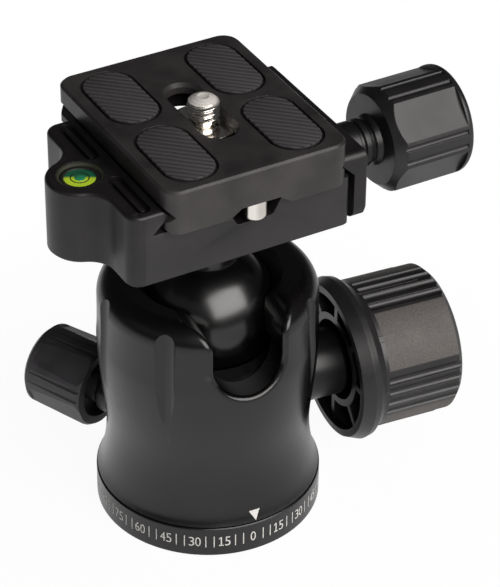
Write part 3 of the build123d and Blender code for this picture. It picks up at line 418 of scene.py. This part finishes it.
FLUID_SLANT = 0.55                 # the fluid's bright part ends on a slanted line
FLUID_BRIGHT, FLUID_DEEP = -15.8, -13.6


def level_fluid():
    """Clear fluid: bright yellow green where light gathers, deep green above."""
    material, tree, shader, where = new_material("level_fluid", (0.45, 0.7, 0.08), 0.12)
    x, y, _ = axes(tree, where)
    slanted = maths(tree, "MULTIPLY_ADD", x, FLUID_SLANT, y)
    ramp = tree.nodes.new("ShaderNodeValToRGB")
    bright, deep = ramp.color_ramp.elements
    bright.color, bright.position = (0.52, 0.72, 0.03, 1), 0.3
    deep.color, deep.position = (0.006, 0.11, 0.05, 1), 0.7
    shade = spread_mm(tree, slanted, 0, 1, FLUID_BRIGHT, FLUID_DEEP)
    tree.links.new(shade, ramp.inputs[0])
    ripple = noise(tree, where, scale=500, detail=2)
    wire(
        tree,
        shader,
        colour=ramp.outputs[0],
        rough=spread(tree, ripple, 0.06, 0.16),
        normal=bump(tree, ripple, strength=0.08, depth=0.05),
    )
    shader.inputs["Coat Weight"].default_value = 0.8
    shader.inputs["Coat Roughness"].default_value = 0.03
    return material


CLAMP_BLACK = (0.0080, 0.0066, 0.0070)

# by material slot; the numbers after an anodised colour are its roughness and refraction
LOOKS = {
    "anodised_base": anodised("anodised_base", (0.0020, 0.0018, 0.0020), 0.26, 1.45),
    "anodised_housing": anodised(
        "anodised_housing",
        (0.0017, 0.0013, 0.0014),
        0.27,
        1.52,
        rounding=0,
        bore=(21.0, 28.5, 38.0),
    ),
    "anodised_clamp": anodised("anodised_clamp", CLAMP_BLACK, 0.42, 1.46),
    "anodised_plate": anodised("anodised_plate", (0.0262, 0.0236, 0.0238), 0.38, 1.38, edge=0.06),
    "anodised_trim": anodised("anodised_trim", (0.0040, 0.0036, 0.0042), 0.32, 1.46),
    "polished_ball": polished("polished_ball", (0.0008, 0.0008, 0.0008)),
    "bright_steel": bright_metal("bright_steel", (0.90, 0.86, 0.80), 0.13),
    "brass": bright_metal("brass", (0.72, 0.52, 0.24), 0.33),
    "acetal": rubber("acetal", (0.005, 0.005, 0.005), 0.12),
    "grained_plastic": grained_plastic("grained_plastic", (0.0112, 0.0105, 0.0112)),
    "level_case": rubber("level_case", (0.022, 0.025, 0.012)),
    "level_liquid": rubber("level_liquid", (0.35, 0.6, 0.06)),
    "pad_rubber": ribbed_rubber("ribbed_rubber", (0.0225, 0.0208, 0.0232), 89.62, 89.93),
}
white_ink = printed("white_ink", (0.62, 0.61, 0.59))

slots = {entry["node"]: entry["material_slot"] for entry in frame["record"]["subparts"]}
for node_name, shown in nodes.items():
    shown.data.materials.clear()
    shown.data.materials.append(LOOKS[slots[node_name]])

# pieces that look different from the rest of their slot
nodes["jaw"].data.materials[0] = anodised(
    "anodised_jaw", CLAMP_BLACK, 0.42, 1.46, edge=0.0, rounding=0
)
pan_look = matt_plastic("pan_plastic", (0.0540, 0.0510, 0.0560))
for node_name in ("pan_knob", "pan_knob_cap"):
    nodes[node_name].data.materials[0] = pan_look
nodes["screw_washer"].data.materials[0] = LOOKS["bright_steel"]


# ================================================================ shape helpers
def add_mesh(name, verts, faces, material, body, slot, smooth=False):
    """A mesh from points in millimetres that rides on a body."""
    mesh = bpy.data.meshes.new(name)
    mesh.from_pydata([tuple(c * MM for c in v) for v in verts], [], faces)
    mesh.validate()
    mesh.update()
    mesh.materials.append(material)
    for face in mesh.polygons:
        face.use_smooth = smooth
    thing = bpy.data.objects.new(name, mesh)
    bpy.context.collection.objects.link(thing)
    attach(thing, body)
    return thing


def lathe(profile, centre, sides, radius_at=None):
    """Points and faces of a turned piece about an upright axis; profile is (r, z).

    The last two faces are the ends.
    """
    points, quads = [], []
    for r, z in profile:
        for side in range(sides):
            turn = 2 * math.pi * side / sides
            radius = radius_at(r, z, turn) if radius_at else r
            x = centre[0] + radius * math.cos(turn)
            y = centre[1] + radius * math.sin(turn)
            points.append((x, y, z))
    last_row = (len(profile) - 1) * sides
    for row in range(0, last_row, sides):
        above = row + sides
        for side in range(sides):
            following = (side + 1) % sides
            quads.append((row + side, row + following, above + following, above + side))
    quads.append(tuple(range(last_row, last_row + sides)))
    quads.append(tuple(reversed(range(sides))))
    return points, quads


def bar(left, right, low, high):
    """Corners of a rectangle."""
    return [(left, low), (right, low), (right, high), (left, high)]


def held(share):
    """A share kept between 0 and 1."""
    return min(1, max(0, share))


def eased(share):
    """A share that starts and ends gently."""
    return share * share * (3 - 2 * share)


# ================================================================ degree scale
BASE_RADIUS = 23.0
ZERO_ASIDE = 0.4                   # of the scale's zero, from the middle of the notch
SCALE_ZERO = math.degrees(SWIVEL) - 90 + ZERO_ASIDE
SCALE_HEIGHT = 3.85                # middle of the degree scale
NUMBER_STEP = 15                   # degrees from one number to the next
DIGIT_HEIGHT = 2.3
DIGIT_WIDTH, DIGIT_STEP = 1.14, 1.32
TICK_HEIGHT, TICK_WIDTH = 2.8, 0.2
TICK_PLACES = (0.372, 0.652)       # of the way from one number to the next
MARK_LIFT = 0.012                  # printed marks stand this far off the metal
STEM_HALF = 0.13                   # the one: half the width of its stem
FOOT_HALF = DIGIT_WIDTH * 0.42     # half the width of its foot and reach of its flag
FOOT_HEIGHT = 0.26
FLAG_LOW, FLAG_TOP, FLAG_JOIN = 0.62, 0.34, 0.32   # under the one's top


def text_outline(character, height):
    """Flat mesh of one character, centred and of the given height."""
    curve = bpy.data.curves.new("text_" + character, "FONT")
    curve.body = character
    curve.align_x = "CENTER"
    curve.align_y = "CENTER"
    curve.size = 1
    curve.offset = -0.005              # thins its strokes a little
    curve.resolution_u = 4
    maker = bpy.data.objects.new("text_" + character, curve)
    bpy.context.collection.objects.link(maker)
    bpy.context.view_layer.update()
    mesh = bpy.data.meshes.new_from_object(maker)
    bpy.data.objects.remove(maker)
    ys = [v.co.y for v in mesh.vertices]
    grow = height / (max(ys) - min(ys))
    middle = (max(ys) + min(ys)) / 2
    verts = [(v.co.x * grow, (v.co.y - middle) * grow) for v in mesh.vertices]
    faces = [tuple(p.vertices) for p in mesh.polygons]
    bpy.data.meshes.remove(mesh)
    return verts, faces


def digit_one():
    """A one with a flag and a foot, as flat bars."""
    top, stem, foot = DIGIT_HEIGHT / 2, STEM_HALF, FOOT_HALF
    points = [
        *bar(-stem, stem, -top, top),
        *bar(-foot, -stem, -top, -top + FOOT_HEIGHT),
        *bar(stem, foot, -top, -top + FOOT_HEIGHT),
        (-foot, top - FLAG_LOW),
        (-stem, top - FLAG_JOIN),
        (-stem, top),
        (-foot, top - FLAG_TOP),
    ]
    return points, [tuple(range(k, k + 4)) for k in range(0, len(points), 4)]


def digit(character):
    """Flat mesh of one digit, squeezed to the width of the scale's digits."""
    if character == "1":
        return digit_one()
    outline, polygons = text_outline(character, DIGIT_HEIGHT)
    xs = [x for x, _ in outline]
    middle = (max(xs) + min(xs)) / 2
    squeeze = DIGIT_WIDTH / (max(xs) - min(xs))
    return [((x - middle) * squeeze, y) for x, y in outline], polygons


def on_ring(points, angle):
    """Bends flat points round the base at an angle."""
    radius = BASE_RADIUS + MARK_LIFT
    bent = []
    for x, y in points:
        turn = math.radians(angle) + x / radius
        bent.append((radius * math.cos(turn), radius * math.sin(turn), SCALE_HEIGHT + y))
    return bent


def degree_scale():
    """Numbers and ticks round the base, as one mesh."""
    points, polygons = [], []

    def add(outline, shapes, angle):
        """Adds flat shapes at an angle."""
        start = len(points)
        points.extend(on_ring(outline, angle))
        polygons.extend(tuple(start + i for i in shape) for shape in shapes)

    for angle in range(0, 360, NUMBER_STEP):
        number = str(min(angle % 180, -angle % 180))       # up to 90 and down again
        for place, character in enumerate(number):
            outline, shapes = digit(character)
            aside = (place - (len(number) - 1) / 2) * DIGIT_STEP
            add([(x + aside, y) for x, y in outline], shapes, SCALE_ZERO + angle)
        for part in TICK_PLACES:
            tick = bar(-TICK_WIDTH / 2, TICK_WIDTH / 2, -TICK_HEIGHT / 2, TICK_HEIGHT / 2)
            add(tick, [(0, 1, 2, 3)], SCALE_ZERO + angle + NUMBER_STEP * part)
    return points, polygons


add_mesh("degree_scale", *degree_scale(), white_ink, "base", "anodised_base")


# ================================================================ index mark
INDEX_ANGLE = -93.4
INDEX_TOP, INDEX_TIP, INDEX_HALF = 9.6, 7.55, 1.25
INDEX_TAPER = 0.97                 # how much of its width is gone at its tip
INDEX_ROWS, INDEX_COLUMNS = 8, 6
OUTSIDE = 40.0                     # radius beyond the housing


def laid_on(skin, start, way):
    """Where a ray meets a skin, lifted off it a little."""
    hit, normal, _, _ = skin.ray_cast(Vector(start) * MM, Vector(way).normalized())
    return (hit + normal * MARK_LIFT * MM) / MM


def index_mark():
    """The triangle over the scale, laid on the housing's skin row by row."""
    barrel = BVHTree.FromObject(nodes["housing"], bpy.context.evaluated_depsgraph_get())
    points, quads = [], []
    for row in range(INDEX_ROWS + 1):
        z = INDEX_TOP + (INDEX_TIP - INDEX_TOP) * row / INDEX_ROWS
        half = INDEX_HALF * (1 - INDEX_TAPER * row / INDEX_ROWS)
        for column in range(INDEX_COLUMNS + 1):
            aside = half * (2 * column / INDEX_COLUMNS - 1) / BASE_RADIUS
            turn = math.radians(INDEX_ANGLE) + aside
            start = (OUTSIDE * math.cos(turn), OUTSIDE * math.sin(turn), z)
            points.append(laid_on(barrel, start, (-math.cos(turn), -math.sin(turn), 0)))
    for row in range(INDEX_ROWS):
        for column in range(INDEX_COLUMNS):
            corner = row * (INDEX_COLUMNS + 1) + column
            below = corner + INDEX_COLUMNS + 1
            quads.append((corner, below, below + 1, corner + 1))
    return points, quads


add_mesh("index_mark", *index_mark(), white_ink, "housing", "anodised_housing")


# ================================================================ camera screw
PLATE_Y, PLATE_TOP = 2.75, 89.7
STUD_Y = PLATE_Y - 1.0
STUD_RADIUS, STUD_PITCH, STUD_DEPTH = 3.175, 1.27, 0.66
STUD_TOP = PLATE_TOP + 3.7
STUD_SIDES, STUD_ROWS = 72, 120
CREST, FLANK = 0.14, 0.72          # shares of half a pitch
ROUNDED = 0.35                     # share of the flank's shape that is rounded
NECK_RADIUS, NECK_TOP = 2.5, PLATE_TOP - 0.9
THREAD_RUNOUT = 0.45               # height in which the thread grows out of the neck
TIP_HEIGHT, TIP_RADIUS, TIP_BLUNT = 1.5, 1.2, 0.85
TIP_RINGS = ((1.1, 0.02), (0.85, 0.12), (0.5, 0.2), (0.15, 0.22))     # radius, drop: a dimple
DULL_FROM, DULL_TO = PLATE_TOP + 2.3, PLATE_TOP + 2.9
FLANGE_TOP, FLANGE_DEPTH, FLANGE_EDGE = 87.0, 1.2, 0.15
FLANGE_RADIUS, FLANGE_INNER = 7.0, 3.0
THREAD_FROM = FLANGE_TOP + 0.06
HEAD_RADIUS, HEAD_BOTTOM, HEAD_EDGE = 5.6, 83.2, 0.3
SLOT_LENGTH, SLOT_WIDTH, SLOT_DEPTH = 14, 1.6, 1.8


def thread_radius(z, turn):
    """Radius of a rounded vee thread at a height and an angle in radians."""
    phase = ((z - STUD_PITCH * turn / (2 * math.pi)) / STUD_PITCH) % 1
    wave = abs(2 * phase - 1)                      # 0 on the crest's middle
    fall = held((wave - CREST) / FLANK)
    return STUD_RADIUS - STUD_DEPTH * (eased(fall) * ROUNDED + fall * (1 - ROUNDED))


def screw_shape(r, z, turn):
    """The neck, then the thread growing out of it, then the domed tip."""
    if r != STUD_RADIUS or z <= FLANGE_TOP:
        return r
    grown = held((z - NECK_TOP) / THREAD_RUNOUT)
    cut = NECK_RADIUS + (thread_radius(z, turn) - NECK_RADIUS) * grown
    tip = held((STUD_TOP - z) / TIP_HEIGHT)
    dome = TIP_RADIUS + (STUD_RADIUS - TIP_RADIUS) * math.sin(math.pi / 2 * tip) ** TIP_BLUNT
    return min(cut, dome)


def screw_profile():
    """Radius and height of the head, the flange, the thread's rows and the tip."""
    flange_bottom = FLANGE_TOP - FLANGE_DEPTH
    profile = [
        (HEAD_RADIUS - HEAD_EDGE, HEAD_BOTTOM),
        (HEAD_RADIUS, HEAD_BOTTOM + HEAD_EDGE),
        (HEAD_RADIUS, flange_bottom),
        (FLANGE_RADIUS - FLANGE_EDGE, flange_bottom),
        (FLANGE_RADIUS, flange_bottom + FLANGE_EDGE),
        (FLANGE_RADIUS, FLANGE_TOP - FLANGE_EDGE),
        (FLANGE_RADIUS - FLANGE_EDGE, FLANGE_TOP),
        (FLANGE_INNER, FLANGE_TOP),
    ]
    for i in range(STUD_ROWS + 1):
        profile.append((STUD_RADIUS, THREAD_FROM + (STUD_TOP - THREAD_FROM) * i / STUD_ROWS))
    for radius, drop in TIP_RINGS:
        profile.append((radius, STUD_TOP - drop))
    return profile


def cut_coin_slot(screw):
    """Cuts the coin slot into the underside of the screw's head."""
    mesh = bpy.data.meshes.new("coin_slot")
    cutter = bmesh.new()
    bmesh.ops.create_cube(cutter, size=1)
    size = (SLOT_LENGTH * MM, SLOT_WIDTH * MM, 2 * SLOT_DEPTH * MM)
    bmesh.ops.scale(cutter, vec=size, verts=cutter.verts)
    bmesh.ops.translate(cutter, vec=(0, STUD_Y * MM, HEAD_BOTTOM * MM), verts=cutter.verts)
    cutter.to_mesh(mesh)
    cutter.free()
    block = bpy.data.objects.new("coin_slot", mesh)
    bpy.context.collection.objects.link(block)
    bpy.context.view_layer.objects.active = screw
    boolean = screw.modifiers.new("coin_slot", "BOOLEAN")
    boolean.operation = "DIFFERENCE"
    boolean.object = block
    with bpy.context.temp_override(object=screw, active_object=screw):
        bpy.ops.object.modifier_apply(modifier="coin_slot")
    bpy.data.objects.remove(block)


screw_steel = turned_steel("screw_steel", STUD_Y, DULL_FROM, DULL_TO)
verts, faces = lathe(screw_profile(), (0, STUD_Y), STUD_SIDES, screw_shape)
stud = add_mesh(
    "camera_screw_threaded", verts, faces, screw_steel, "stud_turner", "bright_steel", True
)
stud.data.set_sharp_from_angle(angle=SHARP_EDGE)
cut_coin_slot(stud)
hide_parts("camera_screw")


# ================================================================ ribbed pads
PAD_X, PAD_Y = 11.35, 11.3
PAD_WIDTH, PAD_LENGTH, PAD_CORNER = 10.15, 19.35, 4.8
PAD_FLOOR, PAD_TOP = PLATE_TOP - 0.8, PLATE_TOP + 0.25
PAD_EDGE = 0.22                    # width of the slope round the ribs
RIM_DROP = 0.14                    # how far the rim stays under the top
RIM_HEIGHT, RIM_WIDTH = 0.06, 0.04           # its small chamfer
CORNER_STEPS = 24
RIB_PITCH, RIB_HEIGHT, RIB_STEP = 1.27, 0.42, 0.1
RIB_CREST, RIB_FLANK = 0.42, 0.5   # shares of half a pitch
RIB_TURN = math.radians(-42.5)
RIB_ALONG = (math.cos(RIB_TURN), math.sin(RIB_TURN))
RIB_OVER = (-math.sin(RIB_TURN), math.cos(RIB_TURN))


def pad_outline(inset):
    """Points round a pad, counted from its own middle."""
    half_width, half_length = PAD_WIDTH / 2 - inset, PAD_LENGTH / 2 - inset
    corner = PAD_CORNER - inset
    ring = []
    for quarter, (side, end) in enumerate(((1, 1), (-1, 1), (-1, -1), (1, -1))):
        for step in range(CORNER_STEPS + 1):
            turn = math.pi / 2 * (quarter + step / CORNER_STEPS)
            x = side * (half_width - corner) + corner * math.cos(turn)
            y = end * (half_length - corner) + corner * math.sin(turn)
            ring.append((x, y))
    return ring


def pad_reach(shift, inset):
    """Ends of a chord of the pad that runs with the ribs, or None where it misses."""
    ring = pad_outline(inset)
    cuts = []
    for (x0, y0), (x1, y1) in zip(ring, ring[1:] + ring[:1]):
        over0 = x0 * RIB_OVER[0] + y0 * RIB_OVER[1] - shift
        over1 = x1 * RIB_OVER[0] + y1 * RIB_OVER[1] - shift
        if over0 * over1 < 0:
            share = over0 / (over0 - over1)
            x, y = x0 + (x1 - x0) * share, y0 + (y1 - y0) * share
            cuts.append(x * RIB_ALONG[0] + y * RIB_ALONG[1])
    return (min(cuts), max(cuts)) if len(cuts) >= 2 else None


def rib_height(shift):
    """Height of the ribbed face against its top, across the ribs."""
    wave = abs(((shift / RIB_PITCH) % 1) * 2 - 1)      # 1 in a groove's middle
    return -RIB_HEIGHT * eased(held((wave - RIB_CREST) / RIB_FLANK))


def pad_row(shift):
    """Points of one cut through a pad along the ribs, none where it misses the pad."""
    outer = pad_reach(shift, 0.0)
    if outer is None:
        return []
    inner = pad_reach(shift, PAD_EDGE) or ((outer[0] + outer[1]) / 2,) * 2
    height = PAD_TOP + rib_height(shift)
    rim = min(height, PAD_TOP - RIM_DROP)
    stations = (
        (outer[0], PAD_FLOOR),
        (outer[0], rim - RIM_HEIGHT),
        (outer[0] + RIM_WIDTH, rim),
        (inner[0], height),
        (inner[1], height),
        (outer[1] - RIM_WIDTH, rim),
        (outer[1], rim - RIM_HEIGHT),
        (outer[1], PAD_FLOOR),
    )
    return [
        (
            RIB_OVER[0] * shift + RIB_ALONG[0] * along,
            RIB_OVER[1] * shift + RIB_ALONG[1] * along,
            z,
        )
        for along, z in stations
    ]


def pad_shape():
    """A sheet of diagonal ribs that end at a smooth outline, about the pad's middle."""
    steps = math.ceil(math.hypot(PAD_WIDTH, PAD_LENGTH) / 2 / RIB_STEP)
    cuts = [pad_row(i * RIB_STEP) for i in range(-steps, steps + 1)]
    cuts = [cut for cut in cuts if cut]
    points = [point for cut in cuts for point in cut]
    width = len(cuts[0])
    rows = [list(range(k, k + width)) for k in range(0, len(points), width)]
    quads = []
    for low, high in zip(rows, rows[1:]):
        for k in range(width):
            following = (k + 1) % width
            quads.append((low[k], low[following], high[following], high[k]))
    quads.append(tuple(reversed(rows[0])))
    quads.append(tuple(rows[-1]))
    return points, quads


def ribbed_pad(name, side, end, points, quads):
    """One of the four rubber pads: the shape, moved to its place."""
    middle_x, middle_y = side * PAD_X, PLATE_Y + end * PAD_Y
    placed = [(middle_x + x, middle_y + y, z) for x, y, z in points]
    pad = add_mesh(
        name + "_ribbed", placed, quads, LOOKS["pad_rubber"], "plate_slide", "pad_rubber", True
    )
    pad.data.set_sharp_from_angle(angle=SHARP_EDGE)
    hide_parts(name)


pad_points, pad_quads = pad_shape()
for pad_name, side, end in (
    ("pad_front_left", -1, -1),
    ("pad_front_right", 1, -1),
    ("pad_rear_left", -1, 1),
    ("pad_rear_right", 1, 1),
):
    ribbed_pad(pad_name, side, end, pad_points, pad_quads)


# ================================================================ bubble level
LEVEL = (-27.1, 0)
LEVEL_INNER, LEVEL_FLOOR, LEVEL_TOP = 3.86, 80.85, 84.3
LEVEL_SEEN = 3.05                  # clear part of the window inside its black seal
LEVEL_SIDES = 64
CIRCLE_RADIUS, CIRCLE_HALF = 1.75, 0.13
CIRCLE_FLAT = CIRCLE_HALF * 0.7
BUBBLE_RADIUS, BUBBLE_HEIGHT, BUBBLE_SIDES = 1.05, 0.22, 48
BUBBLE_STEPS = (0, 15, 30, 45, 60, 75, 88)


def level_piece(name, profile, material, sides=LEVEL_SIDES, open_ended=False):
    """A turned piece of the level; the profile's heights count from the window's top."""
    verts, faces = lathe([(r, LEVEL_TOP + z) for r, z in profile], LEVEL, sides)
    shown = faces[:-2] if open_ended else faces
    return add_mesh(name, verts, shown, material, "clamp", "level_liquid", True)


window = [
    (LEVEL_INNER, LEVEL_FLOOR - LEVEL_TOP),
    (LEVEL_INNER, -0.6),
    (LEVEL_INNER - 0.1, -0.3),
    (LEVEL_INNER - 0.35, -0.12),
    (2.6, -0.03),
    (1.4, 0),
    (0.05, 0.01),
]
circle = [
    (CIRCLE_RADIUS - CIRCLE_HALF, -0.02),
    (CIRCLE_RADIUS - CIRCLE_FLAT, 0.03),
    (CIRCLE_RADIUS + CIRCLE_FLAT, 0.03),
    (CIRCLE_RADIUS + CIRCLE_HALF, -0.04),
]
seal = [
    (LEVEL_SEEN, -0.1),
    (LEVEL_SEEN + 0.06, 0.05),
    (LEVEL_INNER - 0.1, 0.1),
    (LEVEL_INNER - 0.02, -0.2),
]
bubble = [
    (BUBBLE_RADIUS * math.cos(turn), BUBBLE_HEIGHT * math.sin(turn) - 0.02)
    for turn in map(math.radians, BUBBLE_STEPS)
]

glass = level_piece("level_window", window, level_fluid())
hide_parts("level_vial")
black_ink = printed("black_ink", (0.01, 0.01, 0.01))
level_piece("level_circle", circle, black_ink, open_ended=True)
level_piece("level_seal", seal, black_ink, open_ended=True)
bubble_look = cloudy_look(
    "level_bubble", (0.02, 0.22, 0.10), 0.05, cloud=(700, 2), finish=(0.03, 0.08), Coat_Weight=1.0
)
level_piece("level_bubble", bubble, bubble_look, sides=BUBBLE_SIDES)


# ================================================================ light
LIT_HEIGHT = 0.045                 # metres: the lamps look at this height of the axis


def area(name, direction, distance, size, power, colour=WHITE):
    """A softbox that looks at the object from a direction; its measures are in metres."""
    lamp = bpy.data.lights.new(name, "AREA")
    lamp.shape = "RECTANGLE"
    lamp.size, lamp.size_y = size
    lamp.energy = power
    lamp.color = colour
    thing = bpy.data.objects.new(name, lamp)
    bpy.context.collection.objects.link(thing)
    where = Vector(direction).normalized()
    thing.location = where * distance + Vector((0, 0, LIT_HEIGHT))
    thing.rotation_mode = "QUATERNION"
    thing.rotation_quaternion = where.to_track_quat("Z", "Y")


def towards(azimuth, elevation):
    """Unit vector at an azimuth from +X and an elevation."""
    turn, rise = math.radians(azimuth), math.radians(elevation)
    level = math.cos(rise)
    return Vector((math.cos(turn) * level, math.sin(turn) * level, math.sin(rise)))


area(
    "key_front_right",
    towards(azimuth=-77, elevation=36),
    distance=0.75,
    size=(0.85, 0.54),
    power=8.5,
    colour=(1.0, 0.975, 0.95),
)
area(
    "fill_left",
    towards(azimuth=-163, elevation=30),
    distance=0.85,
    size=(1.3, 0.36),
    power=0.2,
)


def mix_shaders(tree, factor, low, high, output):
    """Shows one shader or another by a pattern."""
    node = tree.nodes.new("ShaderNodeMixShader")
    tree.links.new(factor, node.inputs["Fac"])
    tree.links.new(low, node.inputs[1])
    tree.links.new(high, node.inputs[2])
    tree.links.new(node.outputs[0], output.inputs["Surface"])


def background(tree, colour, strength):
    """An even glow of the world."""
    node = tree.nodes.new("ShaderNodeBackground")
    feed(tree, node.inputs["Color"], colour)
    feed(tree, node.inputs["Strength"], strength)
    return node.outputs[0]


def studio():
    """A faint even light, and pure white where the camera looks past the table."""
    world = bpy.data.worlds.new("studio")
    world.use_nodes = True
    tree = world.node_tree
    tree.nodes.clear()
    ambient = background(tree, (0.9, 0.92, 0.95), 0.045)
    white = background(tree, WHITE, 1.0)
    path = tree.nodes.new("ShaderNodeLightPath")
    output = tree.nodes.new("ShaderNodeOutputWorld")
    mix_shaders(tree, path.outputs["Is Camera Ray"], ambient, white, output)
    return world


bpy.context.scene.world = studio()


# ================================================================ table
TABLE_REACH = 1.6                  # metres
PAPER_GREY, SHADE_GREY = (0.96, 0.96, 0.96), (0.6, 0.6, 0.6)
SHADED_SIDE = (0.87, -0.49, 0)     # towards the right of the picture
# metres from the axis between which the glow changes: seen, mirrored, and towards that side
SEEN_FADE, MIRRORED_FADE, SHADE_FADE = (0.04, 0.12), (0.08, 0.6), (0.01, 0.1)


def white_paper():
    """Paper that keeps the contact shadow and is evenly white away from it.

    The camera sees it glow, fully so from 0.12 metres out. Mirrored in the object, it glows
    with painted light near the object and fades further out, and a painted shade makes it
    greyer on the right.
    """
    material, tree, shader, where = new_material("paper", PAPER_GREY, 0.9)
    path = tree.nodes.new("ShaderNodeLightPath")
    to_camera, to_mirror = path.outputs["Is Camera Ray"], path.outputs["Is Glossy Ray"]
    distance = vector_maths(tree, "LENGTH", where, result="Value")
    seen_glow = spread(tree, distance, 0.95, 1.0, *SEEN_FADE)
    # painted light: in reflections the paper glows, most near the object
    mirrored_glow = spread(tree, distance, 0.9, 0.3, *MIRRORED_FADE)
    seen = maths(tree, "MULTIPLY", seen_glow, to_camera)
    mirrored = maths(tree, "MULTIPLY", mirrored_glow, to_mirror)
    # painted shade: in reflections the paper is greyer towards the right
    rightwards = vector_maths(tree, "DOT_PRODUCT", where, SHADED_SIDE, result="Value")
    mirror_colour = mix(tree, spread(tree, rightwards, 0, 1, *SHADE_FADE), PAPER_GREY, SHADE_GREY)
    glow = tree.nodes.new("ShaderNodeEmission")
    glow.inputs["Strength"].default_value = 1.0
    tree.links.new(mix(tree, to_camera, mirror_colour, WHITE), glow.inputs["Color"])
    share = maths(tree, "MAXIMUM", seen, mirrored)
    output = tree.nodes["Material Output"]
    mix_shaders(tree, share, shader.outputs[0], glow.outputs[0], output)
    return material


mesh = bpy.data.meshes.new("table")
corners = bar(-TABLE_REACH, TABLE_REACH, -TABLE_REACH, TABLE_REACH)
mesh.from_pydata([(x, y, 0) for x, y in corners], [], [(0, 1, 2, 3)])
mesh.materials.append(white_paper())
table = bpy.data.objects.new("table", mesh)
bpy.context.collection.objects.link(table)


# ================================================================ camera
AZIMUTH, ELEVATION, ROLL = math.radians(-29.63), math.radians(35.34), math.radians(0.588)
AIM_HEIGHT = 45.0
CAMERA_BACK, CAMERA_RIGHT, CAMERA_UP = 534.4, 8.386, 2.994
LENS, SENSOR = 164.9, 36

back = Vector(
    (
        math.sin(AZIMUTH) * math.cos(ELEVATION),
        -math.cos(AZIMUTH) * math.cos(ELEVATION),
        math.sin(ELEVATION),
    )
)
right = Vector((math.cos(AZIMUTH), math.sin(AZIMUTH), 0))
up = back.cross(right)
right, up = (
    right * math.cos(ROLL) + up * math.sin(ROLL),
    up * math.cos(ROLL) - right * math.sin(ROLL),
)
place = Vector((0, 0, AIM_HEIGHT)) + back * CAMERA_BACK + right * CAMERA_RIGHT + up * CAMERA_UP
lens = bpy.data.cameras.new("camera")
lens.lens = LENS
lens.sensor_width = SENSOR
lens.clip_start, lens.clip_end = 0.01, 10          # metres
camera = bpy.data.objects.new("camera", lens)
bpy.context.collection.objects.link(camera)
facing = Matrix((right, up, back)).transposed().to_4x4()
camera.matrix_world = Matrix.Translation(place * MM) @ facing
bpy.context.scene.camera = camera
bpy.context.scene.view_settings.view_transform = "Standard"

bpy.context.view_layer.update()
